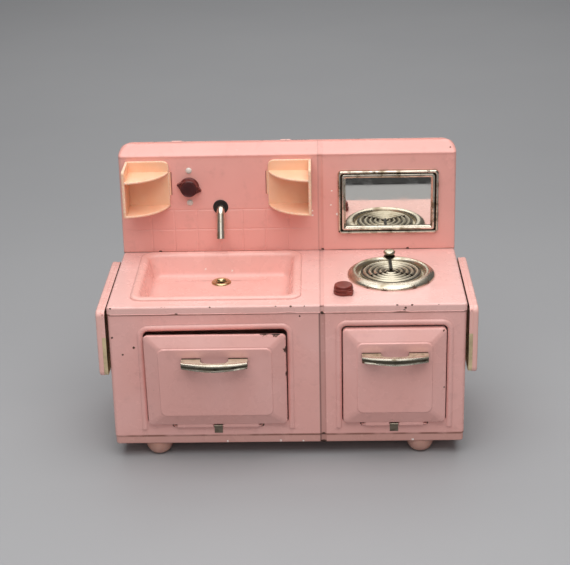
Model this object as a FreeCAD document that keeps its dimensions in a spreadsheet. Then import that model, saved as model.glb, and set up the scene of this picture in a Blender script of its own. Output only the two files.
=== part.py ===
import FreeCAD, Part
import math
import os
import re

import Sketcher

# Tin toy kitchen: a sink unit and a stove unit under one splashback, folded from thin enamelled sheet.
# Millimetres. X runs to the right, the doors face -Y, Z is up, and the origin is on the floor at the
# centre of the whole kitchen's box.

SIZES = {
    # Sheet metal and clearances
    "tin_gauge": 0.5,
    "bend_radius": 2.0,
    "corner_radius": 3.5,
    "running_gap": 0.4,
    "fit_gap": 0.1,
    "overrun": 3.0,
    # Cabinet
    "body_width": 340.0,
    "worktop_depth": 146.0,
    "splash_depth": 14.0,
    "cabinet_height": 136.0,
    "lip_height": 8.0,
    "base_rim_height": 9.0,
    "tray_overlap": 6.0,
    "divider_x": 33.5,
    "groove_width": 4.0,
    "groove_depth": 0.8,
    "partition_flange": 9.0,
    "partition_setback": 7.0,
    # Splashback and rear panel
    "splash_height": 103.0,
    "splash_bevel_rise": 10.0,
    "splash_bevel_run": 10.0,
    "splash_corner_radius": 11.0,
    "splash_crease_radius": 3.0,
    "rear_panel_overtop": 1.0,
    # Feet
    "foot_height": 15.0,
    "foot_radius": 13.5,
    "foot_tread_radius": 7.0,
    "foot_side_inset": 42.0,
    "foot_end_inset": 15.5,
    "foot_rivet_radius": 1.6,
    "foot_rivet_head_radius": 3.6,
    "foot_rivet_head_height": 1.4,
    "foot_rivet_grip": 8.0,
    # Doors
    "sink_door_stile": 34.5,
    "oven_door_stile": 19.2,
    "door_head_rail": 14.6,
    "door_gap": 1.0,
    "door_sill": 2.4,
    "door_inset": 4.5,
    "door_corner_radius": 4.0,
    "door_slope_width": 12.5,
    "door_slope_rise": 5.0,
    "door_panel_margin": 1.2,
    "door_panel_rise": 1.2,
    "door_panel_radius": 6.0,
    "sink_door_ajar": 4.5,
    "bead_width": 6.0,
    "bead_rise": 2.0,
    "bead_tail": 8.0,
    # Door hinges
    "hinge_rise": 11.5,
    "hinge_standoff": 2.2,
    "hinge_roll_radius": 1.7,
    "hinge_wire_radius": 0.8,
    "hinge_wire_bend": 2.0,
    "hinge_wire_tail": 5.0,
    "sink_hinge_span": 85.0,
    "oven_hinge_span": 62.0,
    "hinge_clip_width": 8.0,
    "hinge_clip_drop": 8.5,
    "hinge_clip_plate": 0.6,
    "hinge_clip_eye_radius": 1.5,
    # Door handles
    "handle_side_margin": 4.1,
    "handle_bar_height": 7.8,
    "handle_taper": 1.7,
    "handle_drop": 12.7,
    # Sink
    "sink_side_margin": 19.7,
    "sink_front_margin": 15.0,
    "sink_back_margin": 3.5,
    "sink_rim_width": 8.0,
    "sink_rim_height": 2.2,
    "sink_rim_radius": 12.0,
    "sink_rim_round": 1.6,
    "sink_depth": 22.0,
    "sink_wall_lean": 5.0,
    "sink_seat_gap": 0.6,
    "drain_hole_radius": 6.0,
    "drain_flange_radius": 9.6,
    "drain_flange_height": 1.8,
    "drain_bore_radius": 4.4,
    "drain_collar_drop": 3.0,
    "drain_back_margin": 16.0,
    # Stove
    "burner_setback": 75.0,
    "burner_ring_radius": 42.8,
    "burner_ring_width": 10.2,
    "burner_ring_height": 5.6,
    "burner_stem_radius": 2.6,
    "burner_button_radius": 5.4,
    "burner_button_base": 8.0,
    "burner_button_height": 4.0,
    "burner_button_round": 1.9,
    "burner_prong_width": 3.0,
    "burner_prong_height": 1.4,
    "burner_flange_width": 2.2,
    "burner_flange_thickness": 1.0,
    "burner_plate_thickness": 3.4,
    "burner_ridge_height": 1.4,
    "burner_ridge_pitch": 5.2,
    "burner_spoke_width": 1.6,
    "stove_rest_turn": -45.0,
    "stove_knob_setback": 30.0,
    "stove_knob_from_divider": 20.8,
    "stove_knob_radius": 9.6,
    "stove_knob_height": 9.3,
    "stove_spindle_radius": 2.0,
    "stove_spindle_grip": 6.0,
    "stove_spindle_tail": 8.0,
    "stove_clip_radius": 5.5,
    "stove_clip_thickness": 0.8,
    # Tap
    "tap_shelf_gap": 6.55,
    "tap_knob_rise": 70.5,
    "tap_knob_radius": 10.0,
    "tap_knob_face_radius": 8.4,
    "tap_knob_height": 9.0,
    "tap_fin_span": 25.4,
    "tap_fin_width": 4.6,
    "tap_fin_height": 5.0,
    "tap_rest_turn": 16.0,
    "tap_spindle_radius": 2.2,
    "tap_spindle_grip": 6.0,
    "tap_spindle_tail": 9.0,
    "tap_rivet_spread": 17.0,
    "tap_rivet_head_radius": 3.2,
    "tap_rivet_head_height": 1.8,
    "tap_rivet_shank_radius": 1.4,
    "tap_rivet_grip": 5.0,
    "tap_body_depth": 12.0,
    "tap_body_wall": 6.0,
    "spout_rise": 48.5,
    "spout_radius": 4.3,
    "spout_wall": 0.6,
    "spout_nose": 3.0,
    "spout_bend_radius": 8.5,
    "spout_bend_angle": 68.0,
    "spout_drop": 22.0,
    "spout_socket": 6.0,
    "grommet_radius": 7.7,
    "grommet_flange": 1.2,
    "grommet_waist": 6.2,
    # Water tank
    "tank_width": 140.0,
    "tank_height": 88.0,
    "tank_depth": 26.0,
    "tank_top_drop": 14.0,
    "tank_from_spout": 12.0,
    "tank_hook_spread": 55.0,
    "tank_hook_width": 10.0,
    "nipple_radius": 3.4,
    "nipple_bore": 2.2,
    "gasket_radius": 7.0,
    "gasket_thickness": 1.0,
    # Mirror
    "mirror_width": 102.0,
    "mirror_height": 67.4,
    "mirror_rise": 52.0,
    "mirror_band": 8.0,
    "mirror_frame_height": 4.2,
    "mirror_corner_radius": 4.0,
    "mirror_frame_round": 1.8,
    "mirror_plate_thickness": 1.2,
    "mirror_rebate": 3.0,
    # Shelves
    "shelf_radius": 44.5,
    "shelf_depth": 37.0,
    "shelf_height": 48.5,
    "shelf_rise": 50.0,
    "shelf_wall": 2.6,
    "shelf_plate": 2.2,
    "upper_shelf_rise": 35.4,
    "shelf_side_margin": 7.0,
    "shelf_divider_gap": 9.0,
    "shelf_tab_height": 24.0,
    "shelf_tab_length": 3.0,
    "shelf_slot_width": 1.8,
    # Leaves
    "leaf_thickness": 8.5,
    "leaf_length": 136.0,
    "leaf_height": 68.0,
    "leaf_axis_out": 3.8,
    "leaf_axis_drop": 6.8,
    "leaf_axis_cover": 2.8,
    "leaf_wire_radius": 0.8,
    "leaf_bracket_inset": 20.0,
    "leaf_bracket_width": 9.0,
    "leaf_bracket_drop": 13.0,
    "leaf_bracket_plate": 0.8,
    "leaf_bracket_eye": 1.8,
}

# A door handle's bow, the depth of its bar and the round of its top edge, as shares of its length
HANDLE_BOW_SHARE = 0.24
HANDLE_DEPTH_SHARE = 0.068
HANDLE_ROUND_SHARE = 0.0192

# Sizes and places that follow from the driving sizes
FORMULAS = {
    "shell_width": "body_width - 2 * tin_gauge",
    "tray_width": "shell_width - 2 * tin_gauge",
    "cabinet_depth": "worktop_depth + splash_depth",
    "base_z": "foot_height",
    "seam_z": "base_z + base_rim_height",
    "counter_z": "seam_z + cabinet_height",
    "lip_z": "counter_z - lip_height",
    "crease_z": "counter_z + splash_height",
    "splash_top_z": "crease_z + splash_bevel_rise",
    "panel_top_z": "splash_top_z + rear_panel_overtop",
    # Door fronts and the handles on their raised panels
    "sink_door_half": "(body_width / 2 + divider_x) / 2 - sink_door_stile",
    "oven_door_half": "(body_width / 2 - divider_x) / 2 - oven_door_stile",
    "door_top": "cabinet_height - lip_height - hinge_rise - door_head_rail",
    "door_panel_inset": "door_slope_width + door_panel_margin",
    "handle_length": "2 * (oven_door_half - door_panel_inset - handle_side_margin)",
    "handle_reach": "handle_length * %g" % HANDLE_BOW_SHARE,
    "handle_bar_depth": "handle_length * %g" % HANDLE_DEPTH_SHARE,
    "handle_round": "handle_length * %g" % HANDLE_ROUND_SHARE,
    "handle_rise": "door_top - door_panel_inset - handle_drop",
    # The handle of the door that stands ajar reaches furthest forward, and the tank furthest back
    "handle_front": "hinge_roll_radius + door_slope_rise + door_panel_rise + handle_reach",
    "front_reach": "hinge_standoff - tin_gauge + handle_front * cos(sink_door_ajar * 1deg)"
                   " + (handle_rise + handle_bar_height / 2 - handle_round) * sin(sink_door_ajar * 1deg)",
    "back_reach": "cabinet_depth + tin_gauge + tank_depth",
    "front_y": "(front_reach - back_reach) / 2",
    "shell_front": "front_y + tin_gauge",
    "tray_front": "shell_front + tin_gauge",
    "splash_y": "front_y + worktop_depth",
    "back_y": "front_y + cabinet_depth",
    "tank_y": "back_y + tin_gauge",
    "sink_bay_x": "(divider_x - body_width / 2) / 2",
    "oven_bay_x": "(divider_x + body_width / 2) / 2",
    # Doors, in a frame on the hinge axis
    "hinge_y": "shell_front - hinge_standoff",
    "hinge_z": "seam_z + hinge_rise",
    "door_front": "-hinge_roll_radius",
    "door_back": "hinge_standoff + tin_gauge + door_inset",
    "door_crown": "door_front - door_slope_rise",
    "door_panel": "door_crown - door_panel_rise",
    # Sink
    "sink_half": "(body_width / 2 + divider_x) / 2 - sink_side_margin",
    "sink_front": "front_y + sink_front_margin",
    "sink_back": "splash_y - sink_back_margin",
    "bowl_half": "sink_half - sink_rim_width",
    "bowl_front": "sink_front + sink_rim_width",
    "bowl_back": "sink_back - sink_rim_width",
    "bowl_radius": "sink_rim_radius - sink_rim_width / 2",
    "sink_floor_z": "counter_z - sink_depth",
    "drain_y": "bowl_back - sink_wall_lean - drain_back_margin",
    # Stove
    "burner_y": "front_y + burner_setback",
    "burner_hole_radius": "burner_ring_radius - burner_ring_width",
    "burner_plate_radius": "burner_hole_radius - running_gap",
    "stove_knob_x": "divider_x + stove_knob_from_divider",
    "stove_knob_y": "front_y + stove_knob_setback",
    # Shelves, and the tap beside the left one
    "shelf_z": "counter_z + shelf_rise",
    "left_shelf_x": "-body_width / 2 + shelf_side_margin",
    "right_shelf_x": "divider_x - shelf_divider_gap",
    "tap_x": "left_shelf_x + shelf_radius + tap_shelf_gap + tap_fin_span / 2",
    # Tap and tank
    "spout_x": "sink_bay_x",
    "spout_z": "counter_z + spout_rise",
    "tap_z": "counter_z + tap_knob_rise",
    "tap_body_y": "splash_y + tin_gauge",
    "tap_body_back": "tap_body_y + tap_body_depth",
    "tank_x": "spout_x + tank_from_spout",
    "tank_top_z": "splash_top_z - tank_top_drop",
    # Mirror
    "mirror_z": "counter_z + mirror_rise",
    # Leaves
    "leaf_axis_x": "body_width / 2 + leaf_axis_out",
    "leaf_axis_z": "counter_z - leaf_axis_drop",
}

# Outlines as shares of the sizes that they follow
BEAD_SHARES = ((-1, 0), (-0.8, 0.55), (-0.4, 0.9), (0, 1), (0.4, 0.9), (0.8, 0.55), (1, 0))
DOME_SHARES = ((1, 0), (1, 0.25), (0.85, 0.6), (0.5, 0.9))
FOOT_SHARES = ((0.4, 0.06), (0.72, 0.2), (0.9, 0.42), (1, 0.72), (1, 1))
HANDLE_SHARES = ((-1, 0.7), (-0.78, 0.82), (-0.5, 0.925), (-0.2, 0.985), (0, 1), (0.2, 0.985), (0.5, 0.925),
                 (0.78, 0.82), (1, 0.7))
HOLLOW_SHARES = ((-1, 0.6), (-0.85, 0.88), (-0.5, 0.97), (0, 1), (0.5, 0.97), (0.85, 0.88), (1, 0.6))
HANDLE_SHOULDER_SHARE = 0.42
EYELET_SHARES = ((1, 0), (0.95, 0.5), (0.72, 0.95), (0.4, 1), (0.1, 0.6), (0, 0))
RING_SHARES = ((0, 0), (0, 0.18), (0.12, 0.45), (0.32, 0.82), (0.52, 1), (0.72, 0.94), (0.9, 0.65), (1, 0.3),
               (1, 0))
RIDGE_COUNT = 5
RIDGE_SHARES = ((0.3, 0), (0.18, 0.8), (0, 1), (-0.18, 0.8), (-0.3, 0))
STOVE_KNOB_SHARES = ((1, 0), (1, 0.26), (0.92, 0.3), (0.92, 0.42), (0.97, 0.46), (0.97, 0.68), (0.9, 0.72),
                     (0.9, 0.9), (0.82, 1))
POINTER_REACH_SHARE = 1.2
POINTER_WIDTH_SHARE = 0.45
TAP_SKIRT_SHARE = 0.22
TAP_SHOULDER_SHARE = 0.36
GROMMET_SHARES = ((1, 0), (1, 0.6), (0.7, 1))
FOOT_PLACES = {
    "front_left": ("-(body_width / 2 - foot_side_inset)", "front_y + foot_end_inset"),
    "front_right": ("body_width / 2 - foot_side_inset", "front_y + foot_end_inset"),
    "rear_left": ("-(body_width / 2 - foot_side_inset)", "back_y - foot_end_inset"),
    "rear_right": ("body_width / 2 - foot_side_inset", "back_y - foot_end_inset"),
}
DOOR_BAYS = (("sink_bay_x", "sink_door_half", "sink_hinge_span"),
             ("oven_bay_x", "oven_door_half", "oven_hinge_span"))

doc = FreeCAD.newDocument("tin_toy_kitchen")
sheet = doc.addObject("Spreadsheet::Sheet", "Sizes")
nodes = []


def fill_sheet():
    """Write every driving size as a number and every formula below them, each under its alias."""
    row = 1
    for alias, number in SIZES.items():
        sheet.set("A%d" % row, alias)
        sheet.set("B%d" % row, str(number))
        sheet.setAlias("B%d" % row, alias)
        row += 1
    doc.recompute()
    for alias, formula in FORMULAS.items():
        sheet.set("A%d" % row, alias)
        sheet.set("B%d" % row, "=" + formula)
        sheet.setAlias("B%d" % row, alias)
        row += 1
    doc.recompute()


def ref(expression):
    """Return the expression with each size named in it pointed at the sheet."""
    def point(match):
        word = match.group(0)
        return "Sizes." + word if word in SIZES or word in FORMULAS else word
    return re.sub(r"[a-z_]+", point, expression)


def value(expression):
    """Return the number that an expression has now."""
    number = sheet.evalExpression(ref(expression))
    return float(getattr(number, "Value", number))


def bind(thing, prop, expression):
    """Bind one property of an object to an expression of the sheet's sizes."""
    thing.setExpression(prop, ref(expression))


def node(thing, label):
    """Name an object as one piece of the kitchen, to be written to its own file."""
    thing.Label = label
    nodes.append(thing)
    return thing


def place(thing, x="0", y="0", z="0", axis=None, angle="0"):
    """Place an object at a point, turned by an angle about an axis."""
    if axis is not None:
        thing.Placement = FreeCAD.Placement(FreeCAD.Vector(), FreeCAD.Rotation(FreeCAD.Vector(*axis), 1))
        bind(thing, "Placement.Rotation.Angle", angle)
    bind(thing, "Placement.Base.x", x)
    bind(thing, "Placement.Base.y", y)
    bind(thing, "Placement.Base.z", z)
    return thing


# Bodies, sketches and features

def new_body(name):
    """Start a body."""
    return doc.addObject("PartDesign::Body", name)


def sketch(body, role, offset="0"):
    """Start a sketch on one of the body's own planes, moved along the plane's normal."""
    plane = next(feature for feature in body.Origin.OriginFeatures if feature.Role == role)
    drawing = body.newObject("Sketcher::SketchObject", body.Name + "_sketch")
    drawing.AttachmentSupport = [(plane, "")]
    drawing.MapMode = "FlatFace"
    bind(drawing, "AttachmentOffset.Base.z", offset)
    return drawing


def pin_point(drawing, geometry, end, x, y):
    """Hold one end, or the centre, of a line, arc or circle at a point."""
    for kind, expression in (("DistanceX", x), ("DistanceY", y)):
        rule = Sketcher.Constraint(kind, -1, 1, geometry, end, value(expression))
        index = drawing.addConstraint(rule)
        bind(drawing, "Constraints[%d]" % index, expression)


def pin_radius(drawing, geometry, radius):
    """Hold the radius of an arc or circle."""
    index = drawing.addConstraint(Sketcher.Constraint("Radius", geometry, value(radius)))
    bind(drawing, "Constraints[%d]" % index, radius)


def polygon(drawing, points):
    """Draw a closed outline of straight lines through the points."""
    spots = [FreeCAD.Vector(value(x), value(y), 0) for x, y in points]
    first = drawing.GeometryCount
    count = len(spots)
    for index in range(count):
        drawing.addGeometry(Part.LineSegment(spots[index], spots[(index + 1) % count]), False)
    for index in range(count):
        follower = first + (index + 1) % count
        drawing.addConstraint(Sketcher.Constraint("Coincident", first + index, 2, follower, 1))
        pin_point(drawing, first + index, 1, *points[index])
    return drawing


def rectangle(drawing, x0, x1, y0, y1):
    """Draw a rectangle between two pairs of sides."""
    return polygon(drawing, [(x0, y0), (x1, y0), (x1, y1), (x0, y1)])


def circle(drawing, x, y, radius):
    """Draw a circle."""
    shape = Part.Circle(FreeCAD.Vector(value(x), value(y), 0), FreeCAD.Vector(0, 0, 1), value(radius))
    index = drawing.addGeometry(shape, False)
    pin_point(drawing, index, 3, x, y)
    pin_radius(drawing, index, radius)
    return drawing


def rounded_rectangle(drawing, x0, x1, y0, y1, radius):
    """Draw a rectangle whose four corners are arcs of one radius."""
    left, right, low, high, round_off = (value(size) for size in (x0, x1, y0, y1, radius))
    first = drawing.GeometryCount
    sides = [((left + round_off, low), (right - round_off, low)),
             ((right, low + round_off), (right, high - round_off)),
             ((right - round_off, high), (left + round_off, high)),
             ((left, high - round_off), (left, low + round_off))]
    middles = [(right - round_off, low + round_off), (right - round_off, high - round_off),
               (left + round_off, high - round_off), (left + round_off, low + round_off)]
    for turn, (start, end) in enumerate(sides):
        drawing.addGeometry(Part.LineSegment(FreeCAD.Vector(*start, 0), FreeCAD.Vector(*end, 0)), False)
        ring = Part.Circle(FreeCAD.Vector(*middles[turn], 0), FreeCAD.Vector(0, 0, 1), round_off)
        begin = (turn - 1) * math.pi / 2
        drawing.addGeometry(Part.ArcOfCircle(ring, begin, begin + math.pi / 2), False)
    for turn in range(len(sides)):
        line = first + 2 * turn
        following = first + (2 * turn + 2) % 8
        drawing.addConstraint(Sketcher.Constraint("Tangent", line, 2, line + 1, 1))
        drawing.addConstraint(Sketcher.Constraint("Tangent", line + 1, 2, following, 1))
        drawing.addConstraint(Sketcher.Constraint(("Horizontal", "Vertical")[turn % 2], line))
        pin_radius(drawing, line + 1, radius)
    for turn, (kind, expression) in enumerate((("DistanceY", y0), ("DistanceX", x1), ("DistanceY", y1),
                                               ("DistanceX", x0))):
        rule = Sketcher.Constraint(kind, -1, 1, first + 2 * turn, 1, value(expression))
        index = drawing.addConstraint(rule)
        bind(drawing, "Constraints[%d]" % index, expression)
    return drawing


def pad(body, drawing, length, flip=False):
    """Raise a sketch along its normal, or the other way if flipped."""
    feature = body.newObject("PartDesign::Pad", body.Name + "_pad")
    feature.Profile = drawing
    feature.Reversed = flip
    bind(feature, "Length", length)
    drawing.Visibility = False
    doc.recompute()
    return feature


def pocket(body, drawing, length, flip=False):
    """Cut a sketch against its normal, or along it if flipped, and make sure that it cut something."""
    before = body.Shape.Volume
    feature = body.newObject("PartDesign::Pocket", body.Name + "_pocket")
    feature.Profile = drawing
    feature.Reversed = flip
    bind(feature, "Length", length)
    doc.recompute()
    if not body.Shape.Volume < before:
        raise RuntimeError("a pocket of %s cuts nothing" % body.Name)
    return feature


def revolve(body, drawing):
    """Turn a sketch once round its upright axis."""
    feature = body.newObject("PartDesign::Revolution", body.Name + "_revolution")
    feature.Profile = drawing
    feature.ReferenceAxis = (drawing, ["V_Axis"])
    feature.Angle = 360
    doc.recompute()
    return feature


def loft(body, kind, drawings):
    """Join two outlines by a straight-sided loft, added or cut."""
    feature = body.newObject("PartDesign::" + kind, body.Name + "_loft")
    feature.Profile = drawings[0]
    feature.Sections = drawings[1:]
    feature.Ruled = True
    doc.recompute()
    return feature


def pipe(body, profile, spine):
    """Carry a profile along a spine."""
    feature = body.newObject("PartDesign::AdditivePipe", body.Name + "_pipe")
    feature.Profile = profile
    feature.Spine = (spine, [])
    doc.recompute()
    return feature


def round_edges(body, radius, test):
    """Round every edge of the body that passes a test of its bounding box."""
    names = ["Edge%d" % (index + 1) for index, edge in enumerate(body.Tip.Shape.Edges) if test(edge.BoundBox)]
    if not names:
        raise RuntimeError("no edge to round on %s" % body.Name)
    base = body.Tip
    feature = body.newObject("PartDesign::Fillet", body.Name + "_fillet")
    feature.Base = (base, names)
    bind(feature, "Radius", radius)
    doc.recompute()
    if "Invalid" in feature.State:
        raise RuntimeError("the edges of %s can't be rounded" % body.Name)
    return feature


def level(axis, expression):
    """Return a test for edges that lie wholly at one place along an axis."""
    spot = value(expression)
    close = value("tin_gauge") / 100

    def test(bounds):
        low = getattr(bounds, axis + "Min")
        high = getattr(bounds, axis + "Max")
        return abs(low - spot) < close and abs(high - spot) < close
    return test


# Plain blocks, rods and their sums

def box(x0, x1, y0, y1, z0, z1):
    """Make a block between three pairs of faces."""
    block = doc.addObject("Part::Box", "block")
    for prop, low, high in (("Length", x0, x1), ("Width", y0, y1), ("Height", z0, z1)):
        bind(block, prop, "(%s) - (%s)" % (high, low))
    return place(block, x0, y0, z0)


def rod(radius, length, x, y, z, axis="Z"):
    """Make a cylinder from a point along the X, Y or Z axis."""
    lean = {"X": (0, 1, 0), "Y": (-1, 0, 0), "Z": None}[axis]
    cylinder = doc.addObject("Part::Cylinder", "rod")
    bind(cylinder, "Radius", radius)
    bind(cylinder, "Height", length)
    return place(cylinder, x, y, z, lean, "90")


def join(shapes):
    """Fuse shapes to one."""
    total = doc.addObject("Part::MultiFuse", "joined")
    total.Shapes = shapes
    return total


def cut(base, tools):
    """Take shapes away from another."""
    result = doc.addObject("Part::Cut", "cut")
    result.Base = base
    result.Tool = tools[0] if len(tools) == 1 else join(tools)
    return result


def group(shapes):
    """Keep like pieces together as separate solids of one node."""
    bundle = doc.addObject("Part::Compound", "group")
    bundle.Links = shapes
    return bundle


# Cabinet

def add_groove(body, plane, width, face, low, high, wall_low, wall_high):
    """Press the divider groove into a sheet: a rib behind the sheet, then a channel cut from its face."""
    half = "(%s) / 2" % width
    along = "XZ_Plane" if plane == "front" else "XY_Plane"
    start = "-(%s)" % face if plane == "front" else face
    rib = sketch(body, along, start)
    rectangle(rib, "divider_x - %s - tin_gauge" % half, "divider_x + %s + tin_gauge" % half, wall_low,
              wall_high)
    pad(body, rib, "groove_depth + tin_gauge", flip=True)
    channel = sketch(body, along, start)
    rectangle(channel, "divider_x - %s" % half, "divider_x + %s" % half, low, high)
    pocket(body, channel, "groove_depth")


def make_base_tray():
    """Floor pan: its rim shows below the shell and its wall slides up inside it."""
    body = new_body("base_tray")
    half = "tray_width / 2"
    outline = sketch(body, "XY_Plane", "base_z")
    rounded_rectangle(outline, "-" + half, half, "tray_front", "back_y", "corner_radius")
    pad(body, outline, "base_rim_height + tray_overlap")
    inside = sketch(body, "XY_Plane", "seam_z + tray_overlap")
    rounded_rectangle(inside, "-%s + tin_gauge" % half, half + " - tin_gauge", "tray_front + tin_gauge",
                      "back_y - tin_gauge", "corner_radius - tin_gauge")
    pocket(body, inside, "base_rim_height + tray_overlap - tin_gauge")
    round_edges(body, "bend_radius - tin_gauge", level("Z", "base_z + tin_gauge"))
    round_edges(body, "bend_radius", level("Z", "base_z"))
    add_groove(body, "front", "groove_width + 4 * tin_gauge", "tray_front", "base_z - overrun",
               "seam_z + tray_overlap + overrun", "base_z + bend_radius", "seam_z + tray_overlap")
    holes = sketch(body, "XY_Plane", "base_z + tin_gauge")
    for x, y in FOOT_PLACES.values():
        circle(holes, x, y, "foot_rivet_radius + fit_gap")
    pocket(body, holes, "tin_gauge + overrun")
    return node(body, "base_tray")


def make_cabinet_shell():
    """Front and sides in one folded sheet, open behind, with two door openings framed by pressed beads."""
    body = new_body("cabinet_shell")
    half = "shell_width / 2"
    outline = sketch(body, "XY_Plane", "seam_z")
    rounded_rectangle(outline, "-" + half, half, "shell_front", "back_y + corner_radius", "corner_radius")
    height = "cabinet_height - bend_radius"
    pad(body, outline, height)
    inside = sketch(body, "XY_Plane", "seam_z + " + height)
    rounded_rectangle(inside, "-%s + tin_gauge" % half, half + " - tin_gauge", "shell_front + tin_gauge",
                      "back_y + overrun + corner_radius", "corner_radius - tin_gauge")
    pocket(body, inside, height)
    behind = sketch(body, "XY_Plane", "seam_z + " + height)
    rectangle(behind, "-%s - overrun" % half, half + " + overrun", "back_y",
              "back_y + overrun + corner_radius")
    pocket(body, behind, height)
    add_groove(body, "front", "groove_width + 2 * tin_gauge", "shell_front", "seam_z - overrun",
               "seam_z + %s + overrun" % height, "seam_z", "seam_z + " + height)
    for door_x, door_half, span in DOOR_BAYS:
        opening = sketch(body, "XZ_Plane", "-(shell_front - overrun)")
        rounded_rectangle(opening, "%s - %s - door_gap" % (door_x, door_half),
                          "%s + %s + door_gap" % (door_x, door_half), "hinge_z + door_sill - door_gap",
                          "hinge_z + door_top + door_gap", "door_corner_radius + door_gap")
        pocket(body, opening, "2 * overrun")
        wire_holes = sketch(body, "XZ_Plane", "-(shell_front - overrun)")
        circle(wire_holes, "%s - %s / 2" % (door_x, span), "hinge_z", "hinge_wire_radius + fit_gap")
        circle(wire_holes, "%s + %s / 2" % (door_x, span), "hinge_z", "hinge_wire_radius + fit_gap")
        pocket(body, wire_holes, "2 * overrun")
        add_bead(body, door_x, door_half)
    return node(body, "cabinet_shell")


def add_bead(body, door_x, door_half):
    """Raise the half-round bead that runs up one side of an opening, over it and down the other side."""
    out = "door_gap + bead_width / 2 + fit_gap"
    corner = "(door_corner_radius + %s)" % out
    left = "%s - %s - (%s)" % (door_x, door_half, out)
    right = "%s + %s + (%s)" % (door_x, door_half, out)
    low = "seam_z + bead_tail"
    high = "hinge_z + door_top + %s" % out
    spine = sketch(body, "XZ_Plane", "-shell_front")
    spots = [(left, low), (left, "%s - %s" % (high, corner)), ("%s + %s" % (left, corner), high),
             ("%s - %s" % (right, corner), high), (right, "%s - %s" % (high, corner)), (right, low)]
    at = [FreeCAD.Vector(value(x), value(y), 0) for x, y in spots]
    radius = value(corner)
    upright = FreeCAD.Vector(0, 0, 1)
    left_ring = Part.Circle(FreeCAD.Vector(at[2].x, at[1].y, 0), upright, radius)
    right_ring = Part.Circle(FreeCAD.Vector(at[3].x, at[4].y, 0), upright, radius)
    spine.addGeometry(Part.LineSegment(at[0], at[1]), False)
    spine.addGeometry(Part.ArcOfCircle(left_ring, math.pi / 2, math.pi), False)
    spine.addGeometry(Part.LineSegment(at[2], at[3]), False)
    spine.addGeometry(Part.ArcOfCircle(right_ring, 0, math.pi / 2), False)
    spine.addGeometry(Part.LineSegment(at[4], at[5]), False)
    for line, end, arc, arc_end in ((0, 2, 1, 2), (2, 1, 1, 1), (2, 2, 3, 2), (4, 1, 3, 1)):
        spine.addConstraint(Sketcher.Constraint("Tangent", line, end, arc, arc_end))
    for line in (0, 4):
        spine.addConstraint(Sketcher.Constraint("Vertical", line))
    spine.addConstraint(Sketcher.Constraint("Horizontal", 2))
    pin_point(spine, 0, 1, left, low)
    pin_point(spine, 4, 2, right, low)
    pin_radius(spine, 1, corner)
    pin_radius(spine, 3, corner)
    index = spine.addConstraint(Sketcher.Constraint("DistanceY", -1, 1, 2, 1, value(high)))
    bind(spine, "Constraints[%d]" % index, high)
    profile = sketch(body, "XY_Plane", low)
    polygon(profile, [("%s + bead_width / 2 * %g" % (left, side), "shell_front - bead_rise * %g" % rise)
                      for side, rise in BEAD_SHARES])
    pipe(body, profile, spine)


def make_worktop():
    """Lid pan: a flat top with a folded lip, cut out for the sink, drilled for the stove knob."""
    body = new_body("worktop")
    half = "body_width / 2"
    outline = sketch(body, "XY_Plane", "lip_z")
    rounded_rectangle(outline, "-" + half, half, "front_y", "back_y + corner_radius", "corner_radius")
    pad(body, outline, "lip_height")
    inside = sketch(body, "XY_Plane", "lip_z")
    rounded_rectangle(inside, "-%s + tin_gauge" % half, half + " - tin_gauge", "front_y + tin_gauge",
                      "back_y + overrun + corner_radius", "corner_radius - tin_gauge")
    pocket(body, inside, "lip_height - tin_gauge", flip=True)
    behind = sketch(body, "XY_Plane", "lip_z - overrun")
    rectangle(behind, "-%s - overrun" % half, half + " + overrun", "back_y",
              "back_y + overrun + corner_radius")
    pocket(body, behind, "lip_height + 2 * overrun", flip=True)
    open_back = value("back_y - tin_gauge")
    ceiling = level("Z", "counter_z - tin_gauge")
    round_edges(body, "bend_radius - tin_gauge", lambda bounds: ceiling(bounds) and bounds.YMin < open_back)
    top = level("Z", "counter_z")
    round_edges(body, "bend_radius", lambda bounds: top(bounds) and bounds.YMin < open_back)
    add_groove(body, "front", "groove_width", "front_y", "lip_z - overrun", "counter_z + overrun", "lip_z",
               "counter_z - bend_radius")
    add_groove(body, "top", "groove_width", "counter_z", "front_y - overrun", "splash_y",
               "front_y + bend_radius", "splash_y")
    cut_out = sketch(body, "XY_Plane", "counter_z + overrun")
    rounded_rectangle(cut_out, "sink_bay_x - bowl_half - sink_seat_gap",
                      "sink_bay_x + bowl_half + sink_seat_gap", "bowl_front - sink_seat_gap",
                      "bowl_back + sink_seat_gap", "bowl_radius + sink_seat_gap")
    circle(cut_out, "stove_knob_x", "stove_knob_y", "stove_spindle_radius + fit_gap")
    pocket(body, cut_out, "2 * overrun")
    return node(body, "worktop")


def make_partition():
    """Sheet between the two cupboards, with a flange on the floor pan."""
    front = "tray_front + partition_setback"
    wall = box("divider_x - tin_gauge / 2", "divider_x + tin_gauge / 2", front, "back_y - tin_gauge",
               "base_z + tin_gauge", "counter_z - 2 * tin_gauge - groove_depth")
    flange = box("divider_x", "divider_x + partition_flange", front, "back_y - bend_radius - tin_gauge",
                 "base_z + tin_gauge", "base_z + 2 * tin_gauge")
    corner = box("divider_x - tin_gauge", "divider_x + tin_gauge", "back_y - bend_radius - tin_gauge",
                 "back_y", "base_z", "seam_z + tray_overlap + running_gap")
    return node(cut(join([wall, flange]), [corner]), "partition")


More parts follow.
